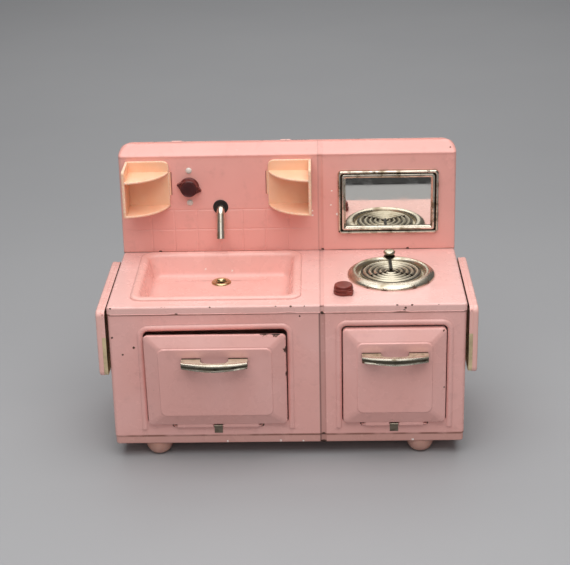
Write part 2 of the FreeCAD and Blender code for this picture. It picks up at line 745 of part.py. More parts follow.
def make_rear_panel():
    """Back sheet of the cabinet and the splashback, with its top edge a little above the splashback."""
    body = new_body("rear_panel")
    half = "(shell_width / 2)"
    outline = sketch(body, "XZ_Plane", "-back_y")
    rectangle(outline, "-" + half, half, "base_z + bend_radius", "panel_top_z")
    pad(body, outline, "tin_gauge", flip=True)
    at_top = level("Z", "panel_top_z")
    gauge = value("tin_gauge")
    round_edges(body, "splash_corner_radius", lambda bounds: at_top(bounds) and bounds.XLength < gauge)
    hole = sketch(body, "XZ_Plane", "-(back_y - overrun)")
    circle(hole, "spout_x", "spout_z", "nipple_radius + fit_gap")
    pocket(body, hole, "2 * overrun")
    return node(body, "rear_panel")


def make_splashback():
    """Upright pan behind the worktop: a flat face, a sloped top and rounded top corners, open behind."""
    body = new_body("splashback")
    half = "(body_width / 2)"
    near = value("tin_gauge")
    top = value("splash_top_z")
    crease = value("crease_z")
    face = value("splash_y")
    outline = sketch(body, "XZ_Plane", "-splash_y")
    rectangle(outline, "-" + half, half, "counter_z", "splash_top_z")
    pad(body, outline, "splash_depth", flip=True)
    round_edges(body, "splash_corner_radius", lambda bounds: bounds.YLength > near
                and abs(bounds.ZMin - top) < near and bounds.XLength < near)
    slope = sketch(body, "YZ_Plane", "-%s - overrun" % half)
    polygon(slope, [("splash_y", "crease_z"), ("splash_y + splash_bevel_run", "splash_top_z"),
                    ("splash_y + splash_bevel_run", "splash_top_z + overrun"),
                    ("splash_y - overrun", "splash_top_z + overrun"), ("splash_y - overrun", "crease_z")])
    pocket(body, slope, "body_width + 2 * overrun", flip=True)
    round_edges(body, "splash_crease_radius", lambda bounds: bounds.XLength > value(half)
                and abs(bounds.ZMin - crease) < near and abs(bounds.YMax - face) < near)
    hollow = sketch(body, "XZ_Plane", "-back_y")
    rectangle(hollow, "-%s + tin_gauge" % half, half + " - tin_gauge", "counter_z - overrun",
              "splash_top_z - splash_corner_radius - splash_crease_radius")
    pocket(body, hollow, "splash_depth - tin_gauge", flip=True)
    under_slope = sketch(body, "YZ_Plane", "-%s + splash_corner_radius" % half)
    low = "splash_top_z - splash_corner_radius - 2 * splash_crease_radius"
    polygon(under_slope, [("splash_y + tin_gauge", low),
                          ("splash_y + tin_gauge", "crease_z - splash_crease_radius"),
                          ("splash_y + splash_bevel_run + tin_gauge", "splash_top_z - tin_gauge"),
                          ("back_y + overrun", "splash_top_z - tin_gauge"), ("back_y + overrun", low)])
    pocket(body, under_slope, "body_width - 2 * splash_corner_radius", flip=True)
    add_groove(body, "front", "groove_width + 2 * tin_gauge", "splash_y", "counter_z - overrun",
               "crease_z - splash_crease_radius", "counter_z", "crease_z - splash_crease_radius")
    holes = sketch(body, "XZ_Plane", "-(splash_y - overrun)")
    circle(holes, "spout_x", "spout_z", "grommet_waist + fit_gap")
    circle(holes, "tap_x", "tap_z", "tap_spindle_radius + fit_gap")
    for side in ("+", "-"):
        circle(holes, "tap_x", "tap_z %s tap_rivet_spread" % side, "tap_rivet_shank_radius + fit_gap")
    middle = "shelf_z + shelf_height / 2"
    for edge in ("left_shelf_x + shelf_radius", "right_shelf_x - shelf_radius - shelf_slot_width"):
        rectangle(holes, edge, edge + " + shelf_slot_width", middle + " - shelf_tab_height / 2 - running_gap",
                  middle + " + shelf_tab_height / 2 + running_gap")
    pocket(body, holes, "overrun + tin_gauge + fit_gap")
    return node(body, "splashback")


# Feet and rivets

def turned(name, profile):
    """Make a turned piece from half its outline, in radius and height, about its own upright axis."""
    body = new_body(name)
    polygon(sketch(body, "XZ_Plane"), profile)
    revolve(body, body.Group[0])
    return body


def rivet(name, head_radius, head_height, shank_radius, shank_length):
    """Turn a rivet that stands on its shank, with its domed head above the origin."""
    dome = [("%s * %g" % (head_radius, across), "%s * %g" % (head_height, up)) for across, up in DOME_SHARES]
    shank = [("0", "-(%s)" % shank_length), (shank_radius, "-(%s)" % shank_length), (shank_radius, "0")]
    return turned(name, shank + dome + [("0", head_height)])


def make_feet():
    """Four domed feet under the floor pan, each held by a rivet through the pan."""
    rivets = []
    for corner, (x, y) in FOOT_PLACES.items():
        swell = [("foot_tread_radius + (foot_radius - foot_tread_radius) * %g" % across,
                  "foot_height * %g" % up) for across, up in FOOT_SHARES]
        bore = "foot_rivet_radius + fit_gap"
        depth = "foot_height - foot_rivet_grip - running_gap"
        foot = turned(corner + "_foot", [("0", "0"), ("foot_tread_radius", "0")] + swell
                      + [(bore, "foot_height"), (bore, depth), ("0", depth)])
        node(place(foot, x, y), corner + "_foot")
        pin = rivet(corner + "_rivet", "foot_rivet_head_radius", "foot_rivet_head_height",
                    "foot_rivet_radius", "foot_rivet_grip + tin_gauge")
        rivets.append(place(pin, x, y, "base_z + tin_gauge"))
    node(group(rivets), "foot_rivets")


# Doors

def make_door(name, door_x, door_half, span, ajar):
    """Door pan on its hinge wire, with its handle and the clip that holds the wire."""
    body = new_body(name)
    inner = "tin_gauge"
    corner = "door_corner_radius"
    slope = "door_slope_width"
    rim = sketch(body, "XZ_Plane", "-door_front")
    rounded_rectangle(rim, "-" + door_half, door_half, "door_sill", "door_top", corner)
    pad(body, rim, "door_back - door_front", flip=True)
    front_edge = door_outline(body, "door_front", door_half, "0", corner)
    crown_edge = door_outline(body, "door_crown", door_half, slope, corner)
    loft(body, "AdditiveLoft", [front_edge, crown_edge])
    panel = door_outline(body, "door_crown", door_half, "door_panel_inset", "door_panel_radius")
    pad(body, panel, "door_panel_rise")
    hollow = door_outline(body, "door_back", door_half, inner, "%s - %s" % (corner, inner))
    pocket(body, hollow, "door_back - door_front - tin_gauge", flip=True)
    low_edge = door_outline(body, "door_front + tin_gauge", door_half, inner, "%s - %s" % (corner, inner))
    high_edge = door_outline(body, "door_crown + tin_gauge", door_half, slope + " + " + inner,
                             "%s - %s" % (corner, inner))
    loft(body, "SubtractiveLoft", [low_edge, high_edge])
    dish = door_outline(body, "door_crown + tin_gauge", door_half, "door_panel_inset + " + inner,
                        "door_panel_radius - " + inner)
    pocket(body, dish, "door_panel_rise", flip=True)
    add_hinge_roll(body, span)
    hang(body, door_x, ajar)
    node(body, name)
    make_handle(name + "_handle", door_x, ajar)
    make_hinge_wire(name + "_hinge_wire", door_x, span)
    make_hinge_clip(name + "_hinge_clip", door_x)


def door_outline(body, depth, door_half, inset, radius):
    """Draw the door's outline, inset from its edge, at a depth in front of or behind the hinge axis."""
    half = "(%s - (%s))" % (door_half, inset)
    return rounded_rectangle(sketch(body, "XZ_Plane", "-(%s)" % depth), "-" + half, half,
                             "door_sill + " + inset, "door_top - (%s)" % inset, radius)


def add_hinge_roll(body, span):
    """Roll the door's lower edge round the hinge wire, with a gap in the middle for the clip."""
    end = "(%s / 2 - hinge_wire_bend - hinge_wire_radius - running_gap)" % span
    notch = "(hinge_clip_width / 2 + door_gap)"
    bore = "hinge_wire_radius + fit_gap"
    for start, stop in (("-" + end, "-" + notch), (notch, end)):
        roll = sketch(body, "YZ_Plane", start)
        circle(roll, "0", "0", "hinge_roll_radius")
        circle(roll, "0", "0", bore)
        pad(body, roll, "%s - (%s)" % (stop, start))
        web = sketch(body, "YZ_Plane", start)
        rectangle(web, "door_front", "door_front + tin_gauge", "0",
                  "door_sill + tin_gauge + door_corner_radius")
        pad(body, web, "%s - (%s)" % (stop, start))


def hang(thing, door_x, ajar):
    """Hang a piece that is drawn in the door's frame on the hinge axis, opened by an angle."""
    return place(thing, door_x, "hinge_y", "hinge_z", (1, 0, 0), ajar)


def make_handle(name, door_x, ajar):
    """Bowed bar handle: two flat feet on the door's panel and an arched bar between them."""
    body = new_body(name)
    half = "handle_length / 2"
    seat = "door_panel"
    front = "door_panel - handle_reach"
    shoulder = "(%s * %g)" % (half, HANDLE_SHOULDER_SHARE)
    plan = sketch(body, "XY_Plane", "handle_rise - handle_bar_height / 2")
    outer = [("%s * %g" % (half, across), "%s - handle_reach * %g" % (seat, out))
             for across, out in HANDLE_SHARES]
    inner = [("%s * %g" % (shoulder, across), "%s - (handle_reach - handle_bar_depth) * %g" % (seat, out))
             for across, out in reversed(HOLLOW_SHARES)]
    polygon(plan, [("-" + half, seat)] + outer + [(half, seat), (shoulder, seat)] + inner
            + [("-" + shoulder, seat)])
    pad(body, plan, "handle_bar_height")
    at_top = level("Z", "handle_rise + handle_bar_height / 2")
    front_half = value("door_panel - handle_reach / 2")
    behind_bar = value("door_panel - handle_reach + handle_bar_depth - tin_gauge")
    round_edges(body, "handle_round", lambda bounds: at_top(bounds) and bounds.YMax < front_half
                and bounds.YMin < behind_bar)
    taper = sketch(body, "XZ_Plane", "-(%s - overrun)" % front)
    low = "handle_rise - handle_bar_height / 2"
    for side in ("-", ""):
        polygon(taper, [("0", low), (side + "(%s + overrun)" % half, low + " - overrun"),
                        (side + "(%s + overrun)" % half, low + " + handle_taper")])
    pocket(body, taper, "handle_reach + 2 * overrun")
    hang(body, door_x, ajar)
    return node(body, name)


def make_hinge_wire(name, door_x, span):
    """Hinge wire: a straight run in front of the shell whose two ends turn back through it."""
    half = "%s / 2" % span
    tail = "hinge_standoff + tin_gauge + hinge_wire_tail"
    body = new_body(name)
    spine = sketch(body, "XY_Plane")
    bend = value("hinge_wire_bend")
    reach = value(half)
    back = value(tail)
    spots = [FreeCAD.Vector(-reach, back, 0), FreeCAD.Vector(-reach, bend, 0),
             FreeCAD.Vector(-reach + bend, 0, 0), FreeCAD.Vector(reach - bend, 0, 0),
             FreeCAD.Vector(reach, bend, 0), FreeCAD.Vector(reach, back, 0)]
    upright = FreeCAD.Vector(0, 0, 1)
    left_ring = Part.Circle(FreeCAD.Vector(-reach + bend, bend, 0), upright, bend)
    right_ring = Part.Circle(FreeCAD.Vector(reach - bend, bend, 0), upright, bend)
    spine.addGeometry(Part.LineSegment(spots[0], spots[1]), False)
    spine.addGeometry(Part.ArcOfCircle(left_ring, math.pi, math.pi * 3 / 2), False)
    spine.addGeometry(Part.LineSegment(spots[2], spots[3]), False)
    spine.addGeometry(Part.ArcOfCircle(right_ring, math.pi * 3 / 2, math.pi * 2), False)
    spine.addGeometry(Part.LineSegment(spots[4], spots[5]), False)
    for line, end, arc, arc_end in ((0, 2, 1, 1), (2, 1, 1, 2), (2, 2, 3, 1), (4, 1, 3, 2)):
        spine.addConstraint(Sketcher.Constraint("Tangent", line, end, arc, arc_end))
    for line in (0, 4):
        spine.addConstraint(Sketcher.Constraint("Vertical", line))
    spine.addConstraint(Sketcher.Constraint("Horizontal", 2))
    pin_point(spine, 0, 1, "-" + half, tail)
    pin_point(spine, 4, 2, half, tail)
    pin_radius(spine, 1, "hinge_wire_bend")
    pin_radius(spine, 3, "hinge_wire_bend")
    index = spine.addConstraint(Sketcher.Constraint("DistanceY", -1, 1, 2, 1, 0))
    bind(spine, "Constraints[%d]" % index, "0")
    profile = sketch(body, "XZ_Plane", "-(%s)" % tail)
    circle(profile, "-" + half, "0", "hinge_wire_radius")
    pipe(body, profile, spine)
    place(body, door_x, "hinge_y", "hinge_z")
    return node(body, name)


def make_hinge_clip(name, door_x):
    """Clip on the shell's face whose eye holds the middle of the hinge wire."""
    half = "hinge_clip_width / 2"
    left = "%s - %s" % (door_x, half)
    right = "%s + %s" % (door_x, half)
    plate = box(left, right, "shell_front - hinge_clip_plate", "shell_front", "hinge_z - hinge_clip_drop",
                "hinge_z")
    arm = box(left, right, "hinge_y", "shell_front", "hinge_z - hinge_clip_eye_radius / 2", "hinge_z")
    eye = rod("hinge_clip_eye_radius", "hinge_clip_width", left, "hinge_y", "hinge_z", "X")
    bore = rod("hinge_wire_radius + fit_gap", "hinge_clip_width + 2 * overrun", left + " - overrun",
               "hinge_y", "hinge_z", "X")
    return node(cut(join([plate, arm, eye]), [bore]), name)


# Sink

def make_sink():
    """Pressed basin that drops into the worktop, with a raised rim, and the eyelet in its floor."""
    body = new_body("sink_basin")
    x0, x1 = "sink_bay_x - sink_half", "sink_bay_x + sink_half"
    rim = sketch(body, "XY_Plane", "counter_z")
    rounded_rectangle(rim, x0, x1, "sink_front", "sink_back", "sink_rim_radius")
    pad(body, rim, "sink_rim_height")
    round_edges(body, "sink_rim_round", level("Z", "counter_z + sink_rim_height"))
    loft(body, "AdditiveLoft", [bowl_outline(body, "counter_z", "0", "bowl_radius"),
                                bowl_outline(body, "sink_floor_z", "sink_wall_lean", "bowl_radius")])
    mouth = bowl_outline(body, "counter_z + sink_rim_height", "tin_gauge", "bowl_radius - tin_gauge")
    pocket(body, mouth, "sink_rim_height")
    round_edges(body, "sink_rim_round", level("Z", "counter_z + sink_rim_height"))
    loft(body, "SubtractiveLoft", [bowl_outline(body, "counter_z", "tin_gauge", "bowl_radius - tin_gauge"),
                                   bowl_outline(body, "sink_floor_z + tin_gauge",
                                                "sink_wall_lean + tin_gauge", "bowl_radius - tin_gauge")])
    hole = sketch(body, "XY_Plane", "sink_floor_z + tin_gauge")
    circle(hole, "sink_bay_x", "drain_y", "drain_hole_radius")
    pocket(body, hole, "tin_gauge + overrun")
    node(body, "sink_basin")
    collar = "drain_hole_radius - fit_gap"
    crown = [("drain_bore_radius + (drain_flange_radius - drain_bore_radius) * %g" % across,
              "drain_flange_height * %g" % up) for across, up in EYELET_SHARES]
    tube = [("drain_bore_radius", "-drain_collar_drop"), (collar, "-drain_collar_drop"), (collar, "0")]
    eyelet = turned("drain_eyelet", tube + crown)
    node(place(eyelet, "sink_bay_x", "drain_y", "sink_floor_z + tin_gauge"), "drain_eyelet")


def bowl_outline(body, height, inset, radius):
    """Draw the bowl's outline at a height, inset from its mouth."""
    half = "(bowl_half - (%s))" % inset
    return rounded_rectangle(sketch(body, "XY_Plane", height), "sink_bay_x - " + half, "sink_bay_x + " + half,
                             "bowl_front + " + inset, "bowl_back - (%s)" % inset, radius)


# Stove

def make_burner():
    """Raised ring with a button and a prong at its rear, and the ridged plate inside it."""
    ring = turned("burner_ring", [("burner_ring_radius - burner_ring_width * %g" % inward,
                                   "burner_ring_height * %g" % up) for inward, up in RING_SHARES])
    lug_y = "burner_ring_radius - burner_ring_width / 2"
    stem = sketch(ring, "XY_Plane", "burner_ring_height / 2")
    circle(stem, "0", lug_y, "burner_stem_radius")
    pad(ring, stem, "burner_button_base - burner_ring_height / 2")
    prong = sketch(ring, "XY_Plane", "burner_plate_thickness + burner_ridge_height + running_gap")
    rectangle(prong, "-burner_prong_width / 2", "burner_prong_width / 2", "0", lug_y)
    pad(ring, prong, "burner_prong_height")
    button = sketch(ring, "XY_Plane", "burner_button_base")
    circle(button, "0", lug_y, "burner_button_radius")
    pad(ring, button, "burner_button_height")
    wide = value("burner_button_radius")
    for height in ("burner_button_base", "burner_button_base + burner_button_height"):
        rim = level("Z", height)
        round_edges(ring, "burner_button_round", lambda bounds: rim(bounds) and bounds.XLength > wide)
    node(place(ring, "oven_bay_x", "burner_y", "counter_z"), "burner_ring")

    ridges = []
    for count in range(RIDGE_COUNT, 0, -1):
        for across, up in RIDGE_SHARES:
            ridges.append(("burner_ridge_pitch * %g" % (count + across), "burner_plate_thickness"
                           " + burner_ridge_height * %g" % up))
    step = "burner_plate_radius - burner_flange_width"
    plate = turned("burner_plate", [("0", "0"), ("burner_plate_radius", "0"),
                                    ("burner_plate_radius", "burner_flange_thickness"),
                                    (step, "burner_flange_thickness"), (step, "burner_plate_thickness")]
                   + ridges + [("0", "burner_plate_thickness")])
    spoke = sketch(plate, "XY_Plane", "burner_plate_thickness / 2")
    rectangle(spoke, "-burner_spoke_width / 2", "burner_spoke_width / 2", "0",
              "burner_ridge_pitch * %d" % RIDGE_COUNT)
    spoke_pad = pad(plate, spoke, "burner_plate_thickness / 2 + burner_ridge_height")
    spokes = plate.newObject("PartDesign::PolarPattern", "burner_spokes")
    spokes.Originals = [spoke_pad]
    spokes.Axis = (spoke, ["N_Axis"])
    spokes.Angle = 360
    spokes.Occurrences = 3
    plate.Tip = spokes
    node(place(plate, "oven_bay_x", "burner_y", "counter_z"), "burner_plate")


def make_stove_knob():
    """Stepped knob with a pointer, on a spindle through the worktop held by a clip below."""
    knob = turned("stove_knob", [("stove_spindle_radius", "running_gap")]
                  + [("stove_knob_radius * %g" % across,
                      "running_gap + (stove_knob_height - running_gap) * %g" % up)
                     for across, up in STOVE_KNOB_SHARES]
                  + [("0", "stove_knob_height"), ("0", "stove_spindle_grip + running_gap"),
                     ("stove_spindle_radius", "stove_spindle_grip + running_gap")])
    pointer = sketch(knob, "XY_Plane", "running_gap")
    reach = "stove_knob_radius * %g" % POINTER_REACH_SHARE
    wide = "stove_knob_radius * %g" % POINTER_WIDTH_SHARE
    polygon(pointer, [("stove_knob_radius / 2", "-" + wide), (reach, "0"), ("stove_knob_radius / 2", wide)])
    pad(knob, pointer, "stove_knob_height / 2")
    node(place(knob, "stove_knob_x", "stove_knob_y", "counter_z", (0, 0, 1), "stove_rest_turn"), "stove_knob")
    spindle = rod("stove_spindle_radius", "stove_spindle_tail + stove_spindle_grip + running_gap",
                  "stove_knob_x", "stove_knob_y", "counter_z - stove_spindle_tail")
    node(spindle, "stove_spindle")
    top = "counter_z - tin_gauge - running_gap"
    disc = rod("stove_clip_radius", "stove_clip_thickness", "stove_knob_x", "stove_knob_y",
               top + " - stove_clip_thickness")
    bore = rod("stove_spindle_radius", "stove_clip_thickness + 2 * overrun", "stove_knob_x", "stove_knob_y",
               top + " - stove_clip_thickness - overrun")
    node(cut(disc, [bore]), "stove_clip")


# Tap, spout and tank

def make_tap():
    """Tap knob with two fins on a spindle, its housing behind the splashback, and two rivets."""
    knob = turned("tap_knob", [("tap_spindle_radius", "running_gap"), ("tap_knob_radius", "running_gap"),
                               ("tap_knob_radius", "tap_knob_height * %g" % TAP_SKIRT_SHARE),
                               ("tap_knob_face_radius", "tap_knob_height * %g" % TAP_SHOULDER_SHARE),
                               ("tap_knob_face_radius", "tap_knob_height"), ("0", "tap_knob_height"),
                               ("0", "tap_spindle_grip + running_gap"),
                               ("tap_spindle_radius", "tap_spindle_grip + running_gap")])
    fins = sketch(knob, "XY_Plane", "running_gap")
    tip = "tap_fin_span / 2"
    root = "tap_knob_face_radius / 2"
    for side in ("-", ""):
        polygon(fins, [(side + root, "-tap_fin_width"), (side + tip, "0"), (side + root, "tap_fin_width")])
    pad(knob, fins, "tap_fin_height")
    # The knob's own upright axis is laid forward, after a turn that leaves its fins as they rest
    forward = FreeCAD.Rotation(FreeCAD.Vector(1, 0, 0), 90)
    turn = FreeCAD.Rotation(FreeCAD.Vector(0, 0, 1), -value("tap_rest_turn"))
    knob.Placement = FreeCAD.Placement(FreeCAD.Vector(), forward.multiply(turn))
    for prop, expression in (("x", "tap_x"), ("y", "splash_y"), ("z", "tap_z")):
        bind(knob, "Placement.Base." + prop, expression)
    node(knob, "tap_knob")
    node(rod("tap_spindle_radius", "tap_spindle_grip + running_gap + tin_gauge + tap_spindle_tail", "tap_x",
             "splash_y - running_gap - tap_spindle_grip", "tap_z", "Y"), "tap_spindle")

    wall = "tap_body_wall"
    tower = box("tap_x - tap_spindle_radius - " + wall, "tap_x + tap_spindle_radius + " + wall, "tap_body_y",
                "tap_body_back", "tap_z - tap_rivet_spread - " + wall, "tap_z + tap_rivet_spread + " + wall)
    arm = box("tap_x", "spout_x + spout_radius + " + wall, "tap_body_y", "tap_body_back",
              "spout_z - spout_radius - " + wall, "spout_z + spout_radius + " + wall)
    tools = [rod("tap_spindle_radius + fit_gap", "tap_spindle_tail + running_gap", "tap_x", "tap_body_y",
                 "tap_z", "Y"),
             rod("spout_radius + fit_gap", "spout_socket", "spout_x", "tap_body_y", "spout_z", "Y"),
             rod("grommet_waist + fit_gap", "grommet_flange", "spout_x", "tap_body_y", "spout_z", "Y"),
             rod("nipple_radius + fit_gap", "tap_body_depth", "spout_x", "tap_body_y", "spout_z", "Y")]
    for side in ("+", "-"):
        tools.append(rod("tap_rivet_shank_radius + fit_gap", "tap_rivet_grip + running_gap", "tap_x",
                         "tap_body_y", "tap_z %s tap_rivet_spread" % side, "Y"))
    node(cut(join([tower, arm]), tools), "tap_body")

    pins = []
    for side in ("+", "-"):
        pin = rivet("tap_rivet", "tap_rivet_head_radius", "tap_rivet_head_height", "tap_rivet_shank_radius",
                    "tap_rivet_grip + tin_gauge")
        pins.append(place(pin, "tap_x", "splash_y", "tap_z %s tap_rivet_spread" % side, (1, 0, 0), "90"))
    node(group(pins), "tap_rivets")


def make_spout():
    """Bent tube that comes out of a rubber grommet in the splashback and points down over the basin."""
    body = new_body("spout_tube")
    bend = value("spout_bend_radius")
    angle = math.radians(value("spout_bend_angle"))
    nose = value("spout_nose")
    start = value("tin_gauge + spout_socket")
    drop = value("spout_drop")
    elbow = FreeCAD.Vector(-nose - bend * math.sin(angle), -bend + bend * math.cos(angle), 0)
    tip = elbow + FreeCAD.Vector(-math.cos(angle), -math.sin(angle), 0) * drop
    spine = sketch(body, "YZ_Plane")
    ring = Part.Circle(FreeCAD.Vector(-nose, -bend, 0), FreeCAD.Vector(0, 0, 1), bend)
    spine.addGeometry(Part.LineSegment(FreeCAD.Vector(start, 0, 0), FreeCAD.Vector(-nose, 0, 0)), False)
    spine.addGeometry(Part.ArcOfCircle(ring, math.pi / 2, math.pi / 2 + angle), False)
    spine.addGeometry(Part.LineSegment(elbow, tip), False)
    spine.addConstraint(Sketcher.Constraint("Tangent", 0, 2, 1, 1))
    spine.addConstraint(Sketcher.Constraint("Tangent", 1, 2, 2, 1))
    pin_point(spine, 0, 1, "tin_gauge + spout_socket", "0")
    pin_point(spine, 0, 2, "-spout_nose", "0")
    pin_radius(spine, 1, "spout_bend_radius")
    pin_point(spine, 2, 2, "-spout_nose - spout_bend_radius * sin(spout_bend_angle * 1deg)"
              " - spout_drop * cos(spout_bend_angle * 1deg)",
              "-spout_bend_radius + spout_bend_radius * cos(spout_bend_angle * 1deg)"
              " - spout_drop * sin(spout_bend_angle * 1deg)")
    profile = sketch(body, "XZ_Plane", "-(tin_gauge + spout_socket)")
    circle(profile, "0", "0", "spout_radius")
    circle(profile, "0", "0", "spout_radius - spout_wall")
    pipe(body, profile, spine)
    node(place(body, "spout_x", "splash_y", "spout_z"), "spout_tube")

    bore = "spout_radius + fit_gap"
    lip = [("grommet_waist + (grommet_radius - grommet_waist) * %g" % across, "grommet_flange * %g" % up)
           for across, up in GROMMET_SHARES]
    inner_end = "-tin_gauge - grommet_flange"
    sleeve = [(bore, inner_end), ("grommet_waist", inner_end), ("grommet_waist", "0")]
    grommet = turned("spout_grommet", sleeve + lip + [(bore, "grommet_flange")])
    node(place(grommet, "spout_x", "splash_y", "spout_z", (1, 0, 0), "90"), "spout_grommet")


def make_tank():
    """Open-topped water tank hung on the rear panel by two hooks, with its outlet nipple and gasket."""
    half = "tank_width / 2"
    left, right = "tank_x - " + half, "tank_x + " + half
    back = "tank_y + tank_depth"
    low = "tank_top_z - tank_height"
    seat = "tank_y + gasket_thickness"
    outer = box(left, right, seat, back, low, "tank_top_z")
    inside = box(left + " + tin_gauge", right + " - tin_gauge", seat + " + tin_gauge", back + " - tin_gauge",
                 low + " + tin_gauge", "tank_top_z + overrun")
    outlet = rod("nipple_radius + fit_gap", "gasket_thickness + tin_gauge + overrun", "spout_x",
                 seat + " - overrun", "spout_z", "Y")
    parts = [cut(outer, [inside, outlet])]
    for side in ("-", "+"):
        x0 = "tank_x %s tank_hook_spread - tank_hook_width / 2" % side
        x1 = "tank_x %s tank_hook_spread + tank_hook_width / 2" % side
        parts.append(box(x0, x1, seat, seat + " + tin_gauge", "tank_top_z - tank_hook_width",
                         "panel_top_z + tin_gauge"))
        parts.append(box(x0, x1, "back_y - tin_gauge", seat + " + tin_gauge", "panel_top_z",
                         "panel_top_z + tin_gauge"))
        parts.append(box(x0, x1, "back_y - tin_gauge", "back_y", "splash_top_z", "panel_top_z + tin_gauge"))
    node(join(parts), "water_tank")
    flange = rod("gasket_radius", "tin_gauge", "spout_x", seat + " + tin_gauge", "spout_z", "Y")
    reach = "gasket_thickness + 3 * tin_gauge + splash_depth - tap_body_depth + tap_body_wall / 2"
    stem = rod("nipple_radius", reach, "spout_x", "tap_body_back - tap_body_wall / 2", "spout_z", "Y")
    bore = rod("nipple_bore", "splash_depth + overrun + gasket_thickness", "spout_x",
               "tap_body_back - tap_body_wall / 2 - overrun", "spout_z", "Y")
    node(cut(join([flange, stem]), [bore]), "tank_nipple")
    washer = rod("gasket_radius", "gasket_thickness", "spout_x", "tank_y", "spout_z", "Y")
    through = rod("nipple_radius + fit_gap", "gasket_thickness + 2 * overrun", "spout_x", "tank_y - overrun",
                  "spout_z", "Y")
    node(cut(washer, [through]), "feed_gasket")


# Mirror and shelves

def make_mirror():
    """Pressed frame on the splashback with the mirror plate seated in its rebate."""
    body = new_body("mirror_frame")
    half_wide, half_high = "mirror_width / 2", "mirror_height / 2"
    outline = sketch(body, "XZ_Plane", "0")
    rounded_rectangle(outline, "-" + half_wide, half_wide, "-" + half_high, half_high, "mirror_corner_radius")
    pad(body, outline, "mirror_frame_height")
    round_edges(body, "mirror_frame_round", level("Y", "-mirror_frame_height"))
    opening = sketch(body, "XZ_Plane", "mirror_frame_height")
    wide, high = half_wide + " - mirror_band", half_high + " - mirror_band"
    rectangle(opening, "-(%s)" % wide, wide, "-(%s)" % high, high)
    pocket(body, opening, "mirror_frame_height")
    rebate = sketch(body, "XZ_Plane", "0")
    wide_seat, high_seat = wide + " + mirror_rebate", high + " + mirror_rebate"
    rectangle(rebate, "-(%s)" % wide_seat, wide_seat, "-(%s)" % high_seat, high_seat)
    pocket(body, rebate, "mirror_plate_thickness", flip=True)
    node(place(body, "oven_bay_x", "splash_y", "mirror_z"), "mirror_frame")
    slack = "mirror_rebate - fit_gap"
    node(box("oven_bay_x - (%s + %s)" % (wide, slack), "oven_bay_x + %s + %s" % (wide, slack),
             "splash_y - mirror_plate_thickness", "splash_y", "mirror_z - (%s + %s)" % (high, slack),
             "mirror_z + %s + %s" % (high, slack)), "mirror_plate")


def make_shelf(name, corner_x, sign):
    """Corner shelf: a back and a side plate, two round-fronted shelves and a tab through the splashback."""
    def across(near, far):
        """Return a pair of X places, counted from the shelf's corner, in rising order."""
        pair = ["%s %s (%s)" % (corner_x, sign, place_out) for place_out in (near, far)]
        return pair if sign == "+" else reversed(pair)

    high = "shelf_z + shelf_height"
    parts = [box(*across("0", "shelf_radius"), "splash_y - shelf_wall", "splash_y", "shelf_z", high),
             box(*across("0", "shelf_wall"), "splash_y - shelf_depth", "splash_y", "shelf_z", high)]
    for rise in ("0", "upper_shelf_rise"):
        quarter = doc.addObject("Part::Cylinder", "quarter")
        bind(quarter, "Radius", "shelf_radius")
        bind(quarter, "Height", "shelf_plate")
        quarter.Angle = 90
        # The round's centre lies behind the splashback, and what is behind the splashback's face is cut off
        centre_y = "splash_y + shelf_radius - shelf_depth"
        place(quarter, corner_x, centre_y, "shelf_z + " + rise, (0, 0, 1), "270" if sign == "+" else "180")
        behind = box(*across("-overrun", "shelf_radius + overrun"), "splash_y", centre_y + " + overrun",
                     "shelf_z + %s - overrun" % rise, "shelf_z + %s + shelf_plate + overrun" % rise)
        parts.append(cut(quarter, [behind]))
    low = "shelf_z + shelf_height / 2 - shelf_tab_height / 2"
    parts.append(box(*across("shelf_radius - shelf_wall", "shelf_radius + shelf_slot_width / 2"),
                     "splash_y - shelf_wall", "splash_y", low, low + " + shelf_tab_height"))
    parts.append(box(*across("shelf_radius", "shelf_radius + shelf_slot_width / 2"), "splash_y - shelf_wall",
                     "splash_y + tin_gauge + shelf_tab_length", low, low + " + shelf_tab_height"))
    return node(join(parts), name)


# Drop leaves

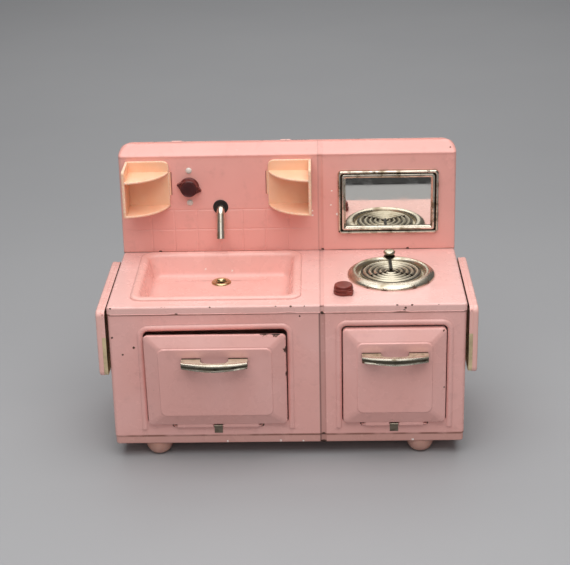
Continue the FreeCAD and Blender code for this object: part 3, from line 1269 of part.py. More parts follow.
def make_leaf(name, side):
    """Drop leaf that hangs beside the cabinet: a pan open to the inside, its hinge wire and two brackets."""
    sign = "+" if side > 0 else "-"
    axis_x = "leaf_axis_x" if side > 0 else "-leaf_axis_x"

    def across(near, far):
        """Return a pair of X places, counted outwards from the hinge axis, in rising order."""
        first, second = "%s %s (%s)" % (axis_x, sign, near), "%s %s (%s)" % (axis_x, sign, far)
        return (first, second) if side > 0 else (second, first)

    inner, outer = "leaf_axis_drop - leaf_thickness", "leaf_axis_drop"
    low, high = "leaf_axis_z + leaf_axis_cover - leaf_height", "leaf_axis_z + leaf_axis_cover"
    front, back = "front_y", "front_y + leaf_length"
    body = new_body(name)
    outline = sketch(body, "YZ_Plane", across(inner, outer)[0])
    rounded_rectangle(outline, front, back, low, high, "corner_radius")
    pad(body, outline, "leaf_thickness")
    hollow = sketch(body, "YZ_Plane", across(inner, inner)[0])
    rounded_rectangle(hollow, front + " + tin_gauge", back + " - tin_gauge", low + " + tin_gauge",
                      high + " - tin_gauge", "corner_radius - tin_gauge")
    pocket(body, hollow, "leaf_thickness - tin_gauge", flip=side > 0)
    round_edges(body, "bend_radius - tin_gauge", level("X", across(outer + " - tin_gauge", outer)[side < 0]))
    round_edges(body, "bend_radius", level("X", across(outer, outer)[0]))
    holes = sketch(body, "XZ_Plane", "-(%s - overrun)" % front)
    circle(holes, axis_x, "leaf_axis_z", "leaf_wire_radius + fit_gap")
    pocket(body, holes, "leaf_length + 2 * overrun")
    node(body, name)
    node(rod("leaf_wire_radius", "leaf_length", axis_x, front, "leaf_axis_z", "Y"), name + "_wire")
    brackets = []
    for start in ("front_y + leaf_bracket_inset", back + " - leaf_bracket_inset - leaf_bracket_width"):
        stop = start + " + leaf_bracket_width"
        wall = "-leaf_axis_out - tin_gauge"
        arm_low = "leaf_axis_z - leaf_bracket_eye - 2 * leaf_bracket_plate"
        plate = box(*across(wall, wall + " + leaf_bracket_plate"), start, stop, "lip_z - leaf_bracket_drop",
                    "lip_z - running_gap")
        arm = box(*across(wall, "leaf_bracket_eye / 2"), start, stop, arm_low,
                  arm_low + " + leaf_bracket_plate")
        web = box(*across("-leaf_bracket_eye / 2", "leaf_bracket_eye / 2"), start, stop, arm_low,
                  "leaf_axis_z - leaf_wire_radius - fit_gap")
        eye = rod("leaf_bracket_eye", "leaf_bracket_width", axis_x, start, "leaf_axis_z", "Y")
        bore = rod("leaf_wire_radius + fit_gap", "leaf_bracket_width + 2 * overrun", axis_x,
                   start + " - overrun", "leaf_axis_z", "Y")
        brackets.append(cut(join([plate, arm, web, eye]), [bore]))
    node(group(brackets), name + "_brackets")


def check_model():
    """Stop if any object failed, or any piece's shape is missing or broken."""
    for thing in doc.Objects:
        if "Invalid" in thing.State or "Error" in thing.State:
            raise RuntimeError("%s failed" % thing.Name)
    for thing in nodes:
        if thing.Shape.isNull() or not thing.Shape.isValid() or not thing.Shape.Solids:
            raise RuntimeError("%s has no sound shape" % thing.Label)


def write_parts():
    """Write each piece to its own file."""
    os.makedirs("parts", exist_ok=True)
    for thing in nodes:
        thing.Shape.exportStep("parts/%s.step" % thing.Label)


fill_sheet()
make_base_tray()
make_cabinet_shell()
make_worktop()
make_partition()
make_rear_panel()
make_splashback()
make_feet()
make_door("sink_door", *DOOR_BAYS[0], "sink_door_ajar")
make_door("oven_door", *DOOR_BAYS[1], "0")
make_sink()
make_burner()
make_stove_knob()
make_tap()
make_spout()
make_tank()
make_mirror()
make_shelf("left_shelf", "left_shelf_x", "+")
make_shelf("right_shelf", "right_shelf_x", "-")
make_leaf("left_leaf", -1)
make_leaf("right_leaf", 1)
doc.recompute()
check_model()
write_parts()
for piece in nodes:
    print(piece.Label, len(piece.Shape.Solids), "solids", round(piece.Shape.Volume, 1), "mm3")
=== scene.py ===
"""Looks of the tin toy kitchen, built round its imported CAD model.

Every shape is worked out in millimetres as a numpy surface in the model's own frame, where X runs to the
right, the doors face -Y and Z is up, and is turned to metres when its mesh is made.
"""
import logging
import math
from dataclasses import dataclass, field, replace
from enum import Enum

import bmesh
import bpy
import numpy as np
from mathutils import Matrix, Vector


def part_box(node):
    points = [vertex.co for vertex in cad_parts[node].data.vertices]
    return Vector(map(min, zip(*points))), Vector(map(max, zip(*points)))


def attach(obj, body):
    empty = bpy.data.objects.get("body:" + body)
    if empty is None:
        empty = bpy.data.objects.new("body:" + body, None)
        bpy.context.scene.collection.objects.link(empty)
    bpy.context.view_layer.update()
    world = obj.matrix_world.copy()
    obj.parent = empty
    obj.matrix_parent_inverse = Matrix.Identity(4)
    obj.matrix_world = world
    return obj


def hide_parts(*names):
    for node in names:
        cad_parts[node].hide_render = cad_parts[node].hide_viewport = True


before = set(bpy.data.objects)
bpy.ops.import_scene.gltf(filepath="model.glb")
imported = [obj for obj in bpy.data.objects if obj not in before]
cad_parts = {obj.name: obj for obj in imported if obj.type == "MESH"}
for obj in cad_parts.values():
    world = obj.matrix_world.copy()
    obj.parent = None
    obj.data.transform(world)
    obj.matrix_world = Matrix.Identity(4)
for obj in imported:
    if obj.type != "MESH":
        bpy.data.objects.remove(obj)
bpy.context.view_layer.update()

Array = np.ndarray
Point = tuple[float, float, float]
Material = bpy.types.Material
Object = bpy.types.Object
Socket = bpy.types.NodeSocket
Tree = bpy.types.NodeTree
Box = tuple[Array, Array]
Span = tuple[float, float]
Lengths = tuple[float, ...]
Outline = tuple[tuple[float, float], ...]
Marks = tuple[tuple[float, float, float], ...]
Spots = tuple[tuple[float, float, float, float], ...]

log = logging.getLogger("toy_kitchen")

MM = 0.001
WELD_MM = 0.002
SHEET = 0.5
QUARTER = math.pi / 2
ROUND_STEPS = 72
CORNER_STEPS = 9
DIVIDER = 33.5


class Facing(Enum):
    """Where a piece's own three axes point: across, up and outwards, one row each."""

    UP = ((1, 0, 0), (0, 1, 0), (0, 0, 1))
    FRONT = ((1, 0, 0), (0, 0, 1), (0, -1, 0))
    BACK = ((-1, 0, 0), (0, 0, 1), (0, 1, 0))
    RIGHT = ((0, 1, 0), (0, 0, 1), (1, 0, 0))
    LEFT = ((0, 1, 0), (0, 0, 1), (-1, 0, 0))


class Side(Enum):
    """The side of the kitchen that a shelf or a leaf is on, as the sign of X."""

    LEFT = -1
    RIGHT = 1


def cad_box(node: str) -> Box:
    """Give the lowest and the highest corner of a CAD node's box in millimetres."""
    low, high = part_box(node)
    return np.array(low) / MM, np.array(high) / MM


def middle_of(node: str) -> Array:
    """Give the middle of a CAD node's box in millimetres."""
    low, high = cad_box(node)
    return (low + high) / 2


def on_face(y: float, marks: Marks) -> Spots:
    """Lay marks that have an X, a Z and a radius each on the upright face at a Y."""
    return tuple((x, y, z, radius) for x, z, radius in marks)


def moved(spots: Spots, origin: Point | Array) -> Spots:
    """Move spots whose X, Y and Z are given from an origin to the kitchen's frame."""
    return tuple((*(np.array(spot[:3]) + np.array(origin)), spot[3]) for spot in spots)


def linear(colour: str) -> tuple[float, float, float, float]:
    """Turn an sRGB hex colour to linear light with full alpha.

    Args:
        colour: six hex digits after a hash.

    Returns:
        Red, green, blue and alpha.
    """
    coded = np.array([int(colour[at:at + 2], 16) for at in (1, 3, 5)]) / 255
    light = np.where(coded <= 0.04045, coded / 12.92, ((coded + 0.055) / 1.055) ** 2.4)
    return (*light.tolist(), 1.0)


class Kind(Enum):
    """The nodes of a finish: each one's type, settings, inputs in the order given, and the output read."""

    PLACE = ("TexCoord", {}, (), "Object")
    WEAR = ("Attribute", {"attribute_name": "wear"}, (), "Fac")
    AXES = ("SeparateXYZ", {}, (0,), 0)
    NOISE = ("TexNoise", {}, ("Vector", "Scale", "Detail", "Roughness"), 0)
    CRYSTALS = ("TexVoronoi", {}, ("Vector", "Scale"), "Color")
    RED = ("SeparateColor", {}, (0,), 0)
    STEP = ("MapRange", {"interpolation_type": "SMOOTHSTEP"}, (0, 1, 2, 3, 4), 0)
    BLEND = ("Mix", {"data_type": "RGBA"}, (0, 6, 7), 2)
    ADD = ("Math", {"operation": "ADD"}, (0, 1), 0)
    SUBTRACT = ("Math", {"operation": "SUBTRACT"}, (0, 1), 0)
    MULTIPLY = ("Math", {"operation": "MULTIPLY"}, (0, 1), 0)
    MULTIPLY_ADD = ("Math", {"operation": "MULTIPLY_ADD"}, (0, 1, 2), 0)
    MINIMUM = ("Math", {"operation": "MINIMUM"}, (0, 1), 0)
    MAXIMUM = ("Math", {"operation": "MAXIMUM"}, (0, 1), 0)
    ABSOLUTE = ("Math", {"operation": "ABSOLUTE"}, (0,), 0)
    OFFSET = ("VectorMath", {"operation": "SUBTRACT"}, (0, 1), 0)
    SPREAD = ("VectorMath", {"operation": "ABSOLUTE"}, (0,), 0)
    DISTANCE = ("VectorMath", {"operation": "DISTANCE"}, (0, 1), 1)
    RELIEF = ("Bump", {}, ("Strength", "Distance", "Height"), 0)
    SHADER = ("BsdfPrincipled", {}, (), 0)
    OUTPUT = ("OutputMaterial", {}, ("Surface",), None)


def add(tree: Tree, kind: Kind, *inputs: Socket | float | Point | str) -> Socket | None:
    """Add one node with its settings, and set or link its inputs.

    Args:
        tree: the material's node tree.
        kind: what the node does.
        inputs: a socket to link, a constant or the hex of a colour for each input.

    Returns:
        The output that is read, if it has one.
    """
    type_name, settings, slots, output = kind.value
    node = tree.nodes.new("ShaderNode" + type_name)
    for name, setting in settings.items():
        setattr(node, name, setting)
    for slot, source in zip(slots, inputs):
        if isinstance(source, Socket):
            tree.links.new(source, node.inputs[slot])
        else:
            node.inputs[slot].default_value = linear(source) if isinstance(source, str) else source
    return None if output is None else node.outputs[output]


def scale_of(size: float) -> float:
    """Turn the size of a pattern in millimetres to its scale."""
    return 1 / (size * MM)


def blank(name: str) -> tuple[Material, Tree, Socket, bpy.types.Node]:
    """Start a material with one shader on its output.

    Args:
        name: what the material is and how its surface was made.

    Returns:
        The material, its tree, its Object coordinates and its shader.
    """
    material = bpy.data.materials.new(name)
    material.use_nodes = True
    tree = material.node_tree
    tree.nodes.clear()
    place = add(tree, Kind.PLACE)
    surface = add(tree, Kind.SHADER)
    add(tree, Kind.OUTPUT, surface)
    return material, tree, place, surface.node


def box_edges(tree: Tree, place: Socket, low: Array, high: Array, reach: float) -> Socket:
    """Find the edges of a boxy piece: the middle one of the distances to its three nearest box faces.

    Args:
        tree: the material's node tree.
        place: Object coordinates.
        low: the box's lowest corner in millimetres.
        high: its highest corner.
        reach: how far from an edge the value fades out, in millimetres.

    Returns:
        One at an edge, nothing away from it.
    """
    centre = tuple((low + high) / 2 * MM)
    half = tuple((high - low) / 2 * MM)
    spread = add(tree, Kind.SPREAD, add(tree, Kind.OFFSET, place, centre))
    along = add(tree, Kind.AXES, add(tree, Kind.OFFSET, half, spread)).node.outputs
    lower = add(tree, Kind.MINIMUM, along[0], along[1])
    upper = add(tree, Kind.MAXIMUM, along[0], along[1])
    middle = add(tree, Kind.MAXIMUM, lower, add(tree, Kind.MINIMUM, upper, along[2]))
    return add(tree, Kind.STEP, middle, 0, reach * MM, 1, 0)


def near_spots(tree: Tree, place: Socket, spots: Spots) -> Socket | float:
    """Find the surroundings of some places on a piece.

    Args:
        tree: the material's node tree.
        place: Object coordinates.
        spots: each place's X, Y and Z and its radius, in millimetres.

    Returns:
        One at each place, nothing outside its radius.
    """
    total: Socket | float = 0.0
    for x, y, z, radius in spots:
        spot = (x * MM, y * MM, z * MM)
        away = add(tree, Kind.DISTANCE, place, spot)
        total = add(tree, Kind.MAXIMUM, add(tree, Kind.STEP, away, 0, radius * MM, 1, 0), total)
    return total


def finish_shader(tree: Tree, shader: bpy.types.Node, colour: Socket, gloss: Socket, height: Socket,
                  strength: float, depth: float) -> None:
    """Link a finish to its shader.

    Args:
        tree: the material's node tree.
        shader: the material's shader.
        colour: the finish's colour.
        gloss: its roughness.
        height: its fine relief.
        strength: how much of the relief shows.
        depth: the relief's depth in millimetres.
    """
    relief = add(tree, Kind.RELIEF, strength, depth * MM, height)
    tree.links.new(colour, shader.inputs["Base Color"])
    tree.links.new(gloss, shader.inputs["Roughness"])
    tree.links.new(relief, shader.inputs["Normal"])


@dataclass(frozen=True)
class Enamel:
    """Enamel stoved on tin plate: an even coat with a faint orange peel, that chips to dark, rusty tin."""

    paint: str = "#F3B9B1"
    faded: str = "#EFB2A9"
    grime_and_shade: str = "#8A5A50"
    stain_and_shade: str = "#8A5A48"
    chip_and_shade: str = "#2B1C18"
    rust: str = "#5E3A26"
    primer: str = "#FFF1EA"
    roughness: float = 0.24
    edge_reach: float = 1.6
    edge_gain: float = 0.13
    spot_gain: float = 0.42
    chip_level: float = 0.735
    patch_size: float = 30.0
    grain_size: float = 1.6
    fade_size: float = 70.0
    grime_size: float = 9.0
    sheen_size: float = 22.0
    peel_size: float = 1.3
    coat_depth: float = 0.12
    seam_line: Span = (0.3, 1.1)
    wall_line: Span = (0.2, 1.3)

    def dress(self, name: str, box: Box | None = None, spots: Spots = (), pale_spots: Spots = (),
              seams: Lengths = (), grooves: Marks = ()) -> Material:
        """Make the enamel of one piece.

        Args:
            name: the piece's name.
            box: the corners of a boxy piece whose edges are worn.
            spots: places with chips down to the tin.
            pale_spots: places with chips down to the primer.
            seams: heights in millimetres where a line of painted shade runs along a joint.
            grooves: the middle X and the width in millimetres of pressed channels, and how much painted shade
                each takes.

        Returns:
            The material.
        """
        material, tree, place, shader = blank("stoved_enamel_" + name)
        across, _, rise = add(tree, Kind.AXES, place).node.outputs
        worn = add(tree, Kind.WEAR)
        if box:
            worn = add(tree, Kind.MAXIMUM, worn, box_edges(tree, place, *box, self.edge_reach))
        # Chips follow the worn edges and the noted places, broken up by a coarse and a fine noise
        patch = add(tree, Kind.NOISE, place, scale_of(self.patch_size), 2, 0.55)
        grain = add(tree, Kind.NOISE, place, scale_of(self.grain_size), 5, 0.62)
        ragged = add(tree, Kind.MULTIPLY_ADD, patch, 0.4, add(tree, Kind.MULTIPLY, grain, 0.6))
        level = add(tree, Kind.MULTIPLY_ADD, worn, self.edge_gain, ragged)
        if spots:
            level = add(tree, Kind.MULTIPLY_ADD, near_spots(tree, place, spots), self.spot_gain, level)
        chipped = add(tree, Kind.STEP, level, self.chip_level, self.chip_level + 0.02)
        stained = add(tree, Kind.STEP, level, self.chip_level - 0.05, self.chip_level, 0, 0.55)
        fade = add(tree, Kind.NOISE, place, scale_of(self.fade_size), 2, 0.55)
        colour = add(tree, Kind.BLEND, add(tree, Kind.STEP, fade, 0.35, 0.65), self.paint, self.faded)
        soil = add(tree, Kind.NOISE, place, scale_of(self.grime_size), 4, 0.55)
        colour = add(tree, Kind.BLEND, add(tree, Kind.STEP, soil, 0.52, 0.8, 0, 0.1), colour, self.grime_and_shade)
        line_from, line_to = (reach * MM for reach in self.seam_line)
        wall_from, wall_to = (reach * MM for reach in self.wall_line)
        for height in seams:
            # A folded joint gets a line of painted shade about a millimetre high, thicker here and there
            away = add(tree, Kind.ABSOLUTE, add(tree, Kind.SUBTRACT, rise, height * MM))
            line = add(tree, Kind.STEP, away, line_from, line_to, 0.8, 0)
            thick = add(tree, Kind.STEP, patch, 0.35, 0.55, 0.35, 1)
            colour = add(tree, Kind.BLEND, add(tree, Kind.MULTIPLY, line, thick), colour, self.stain_and_shade)
        for middle, width, dirt_and_shade in grooves:
            # A pressed channel is darkened as painted shade, with a darker line of painted shade along its
            # left wall
            off = add(tree, Kind.SUBTRACT, across, middle * MM)
            away = add(tree, Kind.ABSOLUTE, off)
            channel = add(tree, Kind.STEP, away, 0.4 * width * MM, 0.55 * width * MM, 0.7 * dirt_and_shade, 0)
            colour = add(tree, Kind.BLEND, channel, colour, self.grime_and_shade)
            wall = add(tree, Kind.ABSOLUTE, add(tree, Kind.ADD, off, 0.42 * width * MM))
            dark = add(tree, Kind.STEP, wall, wall_from, wall_to, dirt_and_shade, 0)
            colour = add(tree, Kind.BLEND, dark, colour, self.chip_and_shade)
        colour = add(tree, Kind.BLEND, stained, colour, self.stain_and_shade)
        if pale_spots:
            bare = add(tree, Kind.MULTIPLY_ADD, near_spots(tree, place, pale_spots), 0.4, grain)
            colour = add(tree, Kind.BLEND, add(tree, Kind.STEP, bare, 0.74, 0.78), colour, self.primer)
        flecks = add(tree, Kind.NOISE, place, scale_of(self.grain_size), 3, 0.55)
        rusty = add(tree, Kind.BLEND, add(tree, Kind.STEP, flecks, 0.45, 0.62), self.chip_and_shade, self.rust)
        colour = add(tree, Kind.BLEND, chipped, colour, rusty)
        sheen = add(tree, Kind.NOISE, place, scale_of(self.sheen_size), 4, 0.55)
        gloss = add(tree, Kind.STEP, sheen, 0.3, 0.75, self.roughness - 0.06, self.roughness + 0.1)
        gloss = add(tree, Kind.MULTIPLY_ADD, chipped, 0.4, gloss)
        # The peel of sprayed enamel is about 1 mm wide; a chip is a coat lower than the paint
        peel = add(tree, Kind.MULTIPLY, add(tree, Kind.NOISE, place, scale_of(self.peel_size), 1, 0.55), 0.12)
        coat = add(tree, Kind.SUBTRACT, peel, chipped)
        finish_shader(tree, shader, colour, gloss, coat, 0.35, self.coat_depth)
        shader.inputs["IOR"].default_value = 1.5
        return material


@dataclass(frozen=True)
class Plate:
    """Metal with a plated or drawn surface: mirror-like where clean, dull where tarnished, with rust pits."""

    name: str
    bright: str
    tarnish: str
    rust: str = "#5B3A22"
    roughness: float = 0.16
    dulling: float = 0.22
    pit_level: float = 0.72
    tarnish_size: float = 9.0
    pit_size: float = 0.9
    ripple_size: float = 5.0
    ripple_depth: float = 0.15

    def dress(self, piece: str, spots: Spots = ()) -> Material:
        """Make the metal of one piece.

        Args:
            piece: the piece's name.
            spots: places where the plating has rusted through.

        Returns:
            The material.
        """
        material, tree, place, shader = blank("%s_%s" % (self.name, piece))
        cloud = add(tree, Kind.NOISE, place, scale_of(self.tarnish_size), 4, 0.6)
        grain = add(tree, Kind.NOISE, place, scale_of(self.pit_size), 4, 0.65)
        worn = add(tree, Kind.WEAR)
        level = add(tree, Kind.MULTIPLY_ADD, worn, 0.12, grain)
        if spots:
            level = add(tree, Kind.MULTIPLY_ADD, near_spots(tree, place, spots), 0.3, level)
        pitted = add(tree, Kind.STEP, level, self.pit_level, self.pit_level + 0.05)
        dull = add(tree, Kind.STEP, cloud, 0.45, 0.72)
        colour = add(tree, Kind.BLEND, dull, self.bright, self.tarnish)
        colour = add(tree, Kind.BLEND, pitted, colour, self.rust)
        gloss = add(tree, Kind.MULTIPLY_ADD, dull, self.dulling, self.roughness)
        gloss = add(tree, Kind.MULTIPLY_ADD, pitted, 0.4, gloss)
        tree.links.new(add(tree, Kind.STEP, pitted, 0, 1, 1, 0.25), shader.inputs["Metallic"])
        # Thin plating shows the ripple of the sheet below it, a few millimetres long
        wave = add(tree, Kind.NOISE, place, scale_of(self.ripple_size), 2, 0.55)
        ripple = add(tree, Kind.MULTIPLY_ADD, pitted, -0.5, wave)
        finish_shader(tree, shader, colour, gloss, ripple, 0.25, self.ripple_depth)
        return material


@dataclass(frozen=True)
class Plastic:
    """Moulded plastic or rubber: a soft sheen from the mould, faint flow marks, and edges rubbed lighter."""

    name: str
    body: str
    flow: str
    rubbed: str
    roughness: float = 0.35
    glow: float = 0.0
    flow_size: float = 14.0
    grain_size: float = 0.7
    grain_depth: float = 0.04
    scuff_size: float = 2.2
    glow_depth: float = 3.0
    glow_shares: Lengths = (1.0, 0.45, 0.25)

    def dress(self, piece: str) -> Material:
        """Make the plastic of one piece.

        Args:
            piece: the piece's name.

        Returns:
            The material.
        """
        material, tree, place, shader = blank("%s_%s" % (self.name, piece))
        worn = add(tree, Kind.WEAR)
        swirl = add(tree, Kind.NOISE, place, scale_of(self.flow_size), 4, 0.5)
        scuff = add(tree, Kind.NOISE, place, scale_of(self.scuff_size), 5, 0.65)
        colour = add(tree, Kind.BLEND, add(tree, Kind.STEP, swirl, 0.35, 0.7), self.body, self.flow)
        rub = add(tree, Kind.MULTIPLY, worn, add(tree, Kind.STEP, scuff, 0.4, 0.65, 0.1, 0.8))
        rub = add(tree, Kind.MAXIMUM, rub, add(tree, Kind.STEP, scuff, 0.66, 0.76, 0, 0.35))
        colour = add(tree, Kind.BLEND, rub, colour, self.rubbed)
        gloss = add(tree, Kind.MULTIPLY_ADD, scuff, 0.16, self.roughness - 0.08)
        grain = add(tree, Kind.NOISE, place, scale_of(self.grain_size), 2, 0.55)
        finish_shader(tree, shader, colour, gloss, grain, 0.3, self.grain_depth)
        if self.glow:
            # Thin pale plastic lets light through for a few millimetres, warmer as it goes
            shader.inputs["Subsurface Weight"].default_value = self.glow
            shader.inputs["Subsurface Radius"].default_value = self.glow_shares
            shader.inputs["Subsurface Scale"].default_value = self.glow_depth * MM
        return material


@dataclass(frozen=True)
class Tinplate:
    """Bare or thinly lacquered tin plate: a dull sheen with faint crystals, dirt and rust freckles."""

    name: str
    tin: str = "#C4B795"
    crystal: str = "#B4A685"
    dirt_and_shade: str = "#6A5840"
    rust: str = "#4A2C1B"
    metallic: float = 0.35
    roughness: float = 0.46
    crystal_size: float = 7.0
    cloud_size: float = 26.0
    freckle_size: float = 1.8
    freckle_depth: float = 0.08

    def dress(self, piece: str) -> Material:
        """Make the tin of one piece.

        Args:
            piece: the piece's name.

        Returns:
            The material.
        """
        material, tree, place, shader = blank("%s_%s" % (self.name, piece))
        # Hot-dipped tin sets in crystals several millimetres across, each with a shade of its own
        flake = add(tree, Kind.CRYSTALS, place, scale_of(self.crystal_size))
        shade = add(tree, Kind.RED, flake)
        cloud = add(tree, Kind.NOISE, place, scale_of(self.cloud_size), 5, 0.6)
        freckle = add(tree, Kind.NOISE, place, scale_of(self.freckle_size), 4, 0.6)
        colour = add(tree, Kind.BLEND, shade, self.tin, self.crystal)
        colour = add(tree, Kind.BLEND, add(tree, Kind.STEP, cloud, 0.45, 0.75, 0, 0.6), colour, self.dirt_and_shade)
        colour = add(tree, Kind.BLEND, add(tree, Kind.STEP, freckle, 0.68, 0.73, 0, 0.8), colour, self.rust)
        gloss = add(tree, Kind.MULTIPLY_ADD, cloud, 0.25, self.roughness - 0.1)
        finish_shader(tree, shader, colour, gloss, freckle, 0.3, self.freckle_depth)
        shader.inputs["Metallic"].default_value = self.metallic
        return material


@dataclass(frozen=True)
class Silvering:
    """Silvered glass: a clean mirror with a little haze, and dark freckles creeping in from its edges."""

    silver: str = "#E9E7E1"
    fox: str = "#3A3430"
    rim_reach: float = 7.0
    freckle_size: float = 1.4
    haze_size: float = 16.0

    def dress(self, piece: str, box: Box) -> Material:
        """Make the mirror.

        Args:
            piece: the piece's name.
            box: the plate's corners in millimetres.

        Returns:
            The material.
        """
        material, tree, place, shader = blank("silvered_glass_" + piece)
        rim = box_edges(tree, place, *box, self.rim_reach)
        freckle = add(tree, Kind.NOISE, place, scale_of(self.freckle_size), 4, 0.65)
        aged = add(tree, Kind.STEP, add(tree, Kind.MULTIPLY_ADD, rim, 0.12, freckle), 0.7, 0.76)
        haze = add(tree, Kind.NOISE, place, scale_of(self.haze_size), 4, 0.6)
        tree.links.new(add(tree, Kind.BLEND, aged, self.silver, self.fox), shader.inputs["Base Color"])
        gloss = add(tree, Kind.MULTIPLY_ADD, aged, 0.4, add(tree, Kind.STEP, haze, 0.4, 0.8, 0.02, 0.09))
        tree.links.new(gloss, shader.inputs["Roughness"])
        shader.inputs["Metallic"].default_value = 1.0
        return material


PINK = Enamel()
SATIN = Enamel(paint="#EDBDB3", faded="#E6B2A7", roughness=0.42, edge_gain=0.22)
STEEL = Plate("drawn_steel", "#8D8881", "#5C534A", roughness=0.3, pit_level=0.62)
BRASS = Plate("pressed_brass", "#CDB98E", "#8A7148", roughness=0.2)
ZINC = Plate("cast_zinc", "#8E8F90", "#6C6C6A", roughness=0.45, pit_level=0.7)
PEACH = Plastic("moulded_polystyrene", "#FBC9A6", "#F9C29C", "#FFE0C8", roughness=0.4, glow=0.15)
MAROON = Plastic("moulded_phenolic", "#5A211E", "#6B2A24", "#8E4A40", roughness=0.34, flow_size=6)
BLUSH = Plastic("moulded_polythene", "#D2A192", "#CA9686", "#E2BBAC", roughness=0.45, glow=0.15)
IVORY = Plastic("moulded_nylon", "#E9E2D8", "#D9D0C4", "#F6F2EC", roughness=0.3)
RUBBER = Plastic("moulded_rubber", "#1B1918", "#262321", "#3A3532", roughness=0.62)
BARE_TIN = Tinplate("lacquered_tinplate")


@dataclass
class Surface:
    """A mesh in the making: points in millimetres, quads and caps with a material number each, and wear."""

    points: Array
    quads: Array
    tones: Array
    caps: list[list[int]]
    cap_tones: list[int]
    wear: Array

    def stood(self, origin: Point | Array, facing: Facing = Facing.UP) -> "Surface":
        """Stand the surface with its own zero at an origin in millimetres and its axes as they face."""
        self.points = self.points @ np.array(facing.value, float) + np.array(origin, float)
        return self

    def turned_about(self, centre: Point | Array, degrees: float, axis: int) -> "Surface":
        """Turn the surface about a line along one axis.

        Args:
            centre: a point of the line in millimetres.
            degrees: the right-handed angle.
            axis: 0, 1 or 2 for X, Y or Z.

        Returns:
            The surface, turned.
        """
        turn = np.array(Matrix.Rotation(math.radians(degrees), 3, "XYZ"[axis]))
        self.points = (self.points - centre) @ turn.T + centre
        return self

    def toned(self, number: int) -> "Surface":
        """Give every face the one of the piece's materials that has a number."""
        self.tones[:] = number
        self.cap_tones = [number] * len(self.caps)
        return self


def skin(rings: Array, wear: Array | float = 0.0, closed: bool = False, capped: bool = True,
         inside_from: int | None = None) -> Surface:
    """Lay quads between the neighbouring rings of a stack.

    Args:
        rings: the stack, by ring, place round the ring, and X, Y, Z.
        wear: how worn each ring is.
        closed: whether the last ring joins the first.
        capped: whether the end rings are filled.
        inside_from: the ring from which the second material is used.

    Returns:
        The surface.
    """
    count, steps = rings.shape[:2]
    row = np.arange(count if closed else count - 1)
    here = np.arange(steps)
    after = (here + 1) % steps
    low = row[:, None] * steps
    high = ((row + 1) % count)[:, None] * steps
    quads = np.stack([low + here, low + after, high + after, high + here], -1).reshape(-1, 4)
    split = count if inside_from is None else inside_from
    tones = np.repeat((row >= split).astype(int), steps)
    caps = []
    if capped and not closed:
        caps = [here[::-1].tolist(), ((count - 1) * steps + here).tolist()]
    cap_tones = [0, 0 if inside_from is None else 1][:len(caps)]
    worn = np.repeat(np.broadcast_to(np.asarray(wear, float), count), steps)
    return Surface(rings.reshape(-1, 3), quads, tones, caps, cap_tones, worn)


def gather(*surfaces: Surface) -> Surface:
    """Put several surfaces into one that has all their faces."""
    start = np.cumsum([0] + [len(part.points) for part in surfaces])
    return Surface(
        np.concatenate([part.points for part in surfaces]),
        np.concatenate([part.quads + at for part, at in zip(surfaces, start)]),
        np.concatenate([part.tones for part in surfaces]),
        [[corner + int(at) for corner in cap] for part, at in zip(surfaces, start) for cap in part.caps],
        [tone for part in surfaces for tone in part.cap_tones],
        np.concatenate([part.wear for part in surfaces]))


def soften(corners: list | Outline | Array, reach: float | list[float] | Lengths, samples: int = 6,
           closed: bool = False) -> Array:
    """Round the corners of a line.

    A corner p, with a and b at most the reach away on its two sides, becomes the curve
    (1 - t)^2 a + 2 t (1 - t) p + t^2 b. The ends of an open line stay.

    Args:
        corners: the line's corners.
        reach: how far from each corner its curve begins.
        samples: points on each curve.
        closed: whether the line is a loop.

    Returns:
        The points of the rounded line.
    """
    spots = np.asarray(corners, float)
    away = np.broadcast_to(np.asarray(reach, float), len(spots))[:, None]

    def toward(neighbour: Array) -> Array:
        """Go from each corner towards a neighbour, half way at most."""
        line = neighbour - spots
        length = np.maximum(np.linalg.norm(line, axis=1, keepdims=True), WELD_MM)
        return spots + line / length * np.minimum(away, length / 2)

    start, stop = toward(np.roll(spots, 1, 0)), toward(np.roll(spots, -1, 0))
    t = np.linspace(0, 1, samples)[None, :, None]
    curve = (1 - t) ** 2 * start[:, None] + 2 * t * (1 - t) * spots[:, None] + t ** 2 * stop[:, None]
    if closed:
        return curve.reshape(-1, spots.shape[1])
    return np.concatenate([spots[:1], curve[1:-1].reshape(-1, spots.shape[1]), spots[-1:]])


def turned(profile: Array, steps: int = ROUND_STEPS) -> Array:
    """Turn a profile of radius r and height h round an upright axis: (r cos a, r sin a, h).

    Args:
        profile: radius and height of each ring.
        steps: points round each ring.

    Returns:
        The stack of rings.
    """
    angle = np.linspace(0, 2 * math.pi, steps, endpoint=False)
    radius, height = profile[:, :1], profile[:, 1:]
    return np.stack([radius * np.cos(angle), radius * np.sin(angle), height + 0 * angle], -1)


def rounded_loop(half_across: float, half_up: float, radius: float, steps: int = CORNER_STEPS) -> Array:
    """Draw a rounded rectangle: each corner's centre plus r (cos a, sin a) over its quarter turn.

    Args:
        half_across: half its width.
        half_up: half its height.
        radius: its corners' radius.
        steps: points on each corner.

    Returns:
        The loop's points, from the upper right corner round to the left.
    """
    angle = QUARTER * (np.arange(4)[:, None] + np.linspace(0, 1, steps))
    bulge = np.stack([np.cos(angle), np.sin(angle)], -1)
    corner = np.array([(1, 1), (-1, 1), (-1, -1), (1, -1)])[:, None]
    inner = np.array([half_across - radius, half_up - radius])
    return (corner * inner + radius * bulge).reshape(-1, 2)


def framed(half_across: float, half_up: float, profile: Array, radii: Array) -> Array:
    """Stack rounded rectangles, each drawn in from the edge by its inset and raised by its height.

    Args:
        half_across: half the width at no inset.
        half_up: half the height at no inset.
        profile: inset and height of each ring.
        radii: corner radius of each ring.

    Returns:
        The stack of rings, in across, up and outwards.
    """
    rings = [np.column_stack([rounded_loop(half_across - inset, half_up - inset, max(radius, WELD_MM)),
                              np.full(4 * CORNER_STEPS, height)])
             for (inset, height), radius in zip(profile, radii)]
    return np.stack(rings)


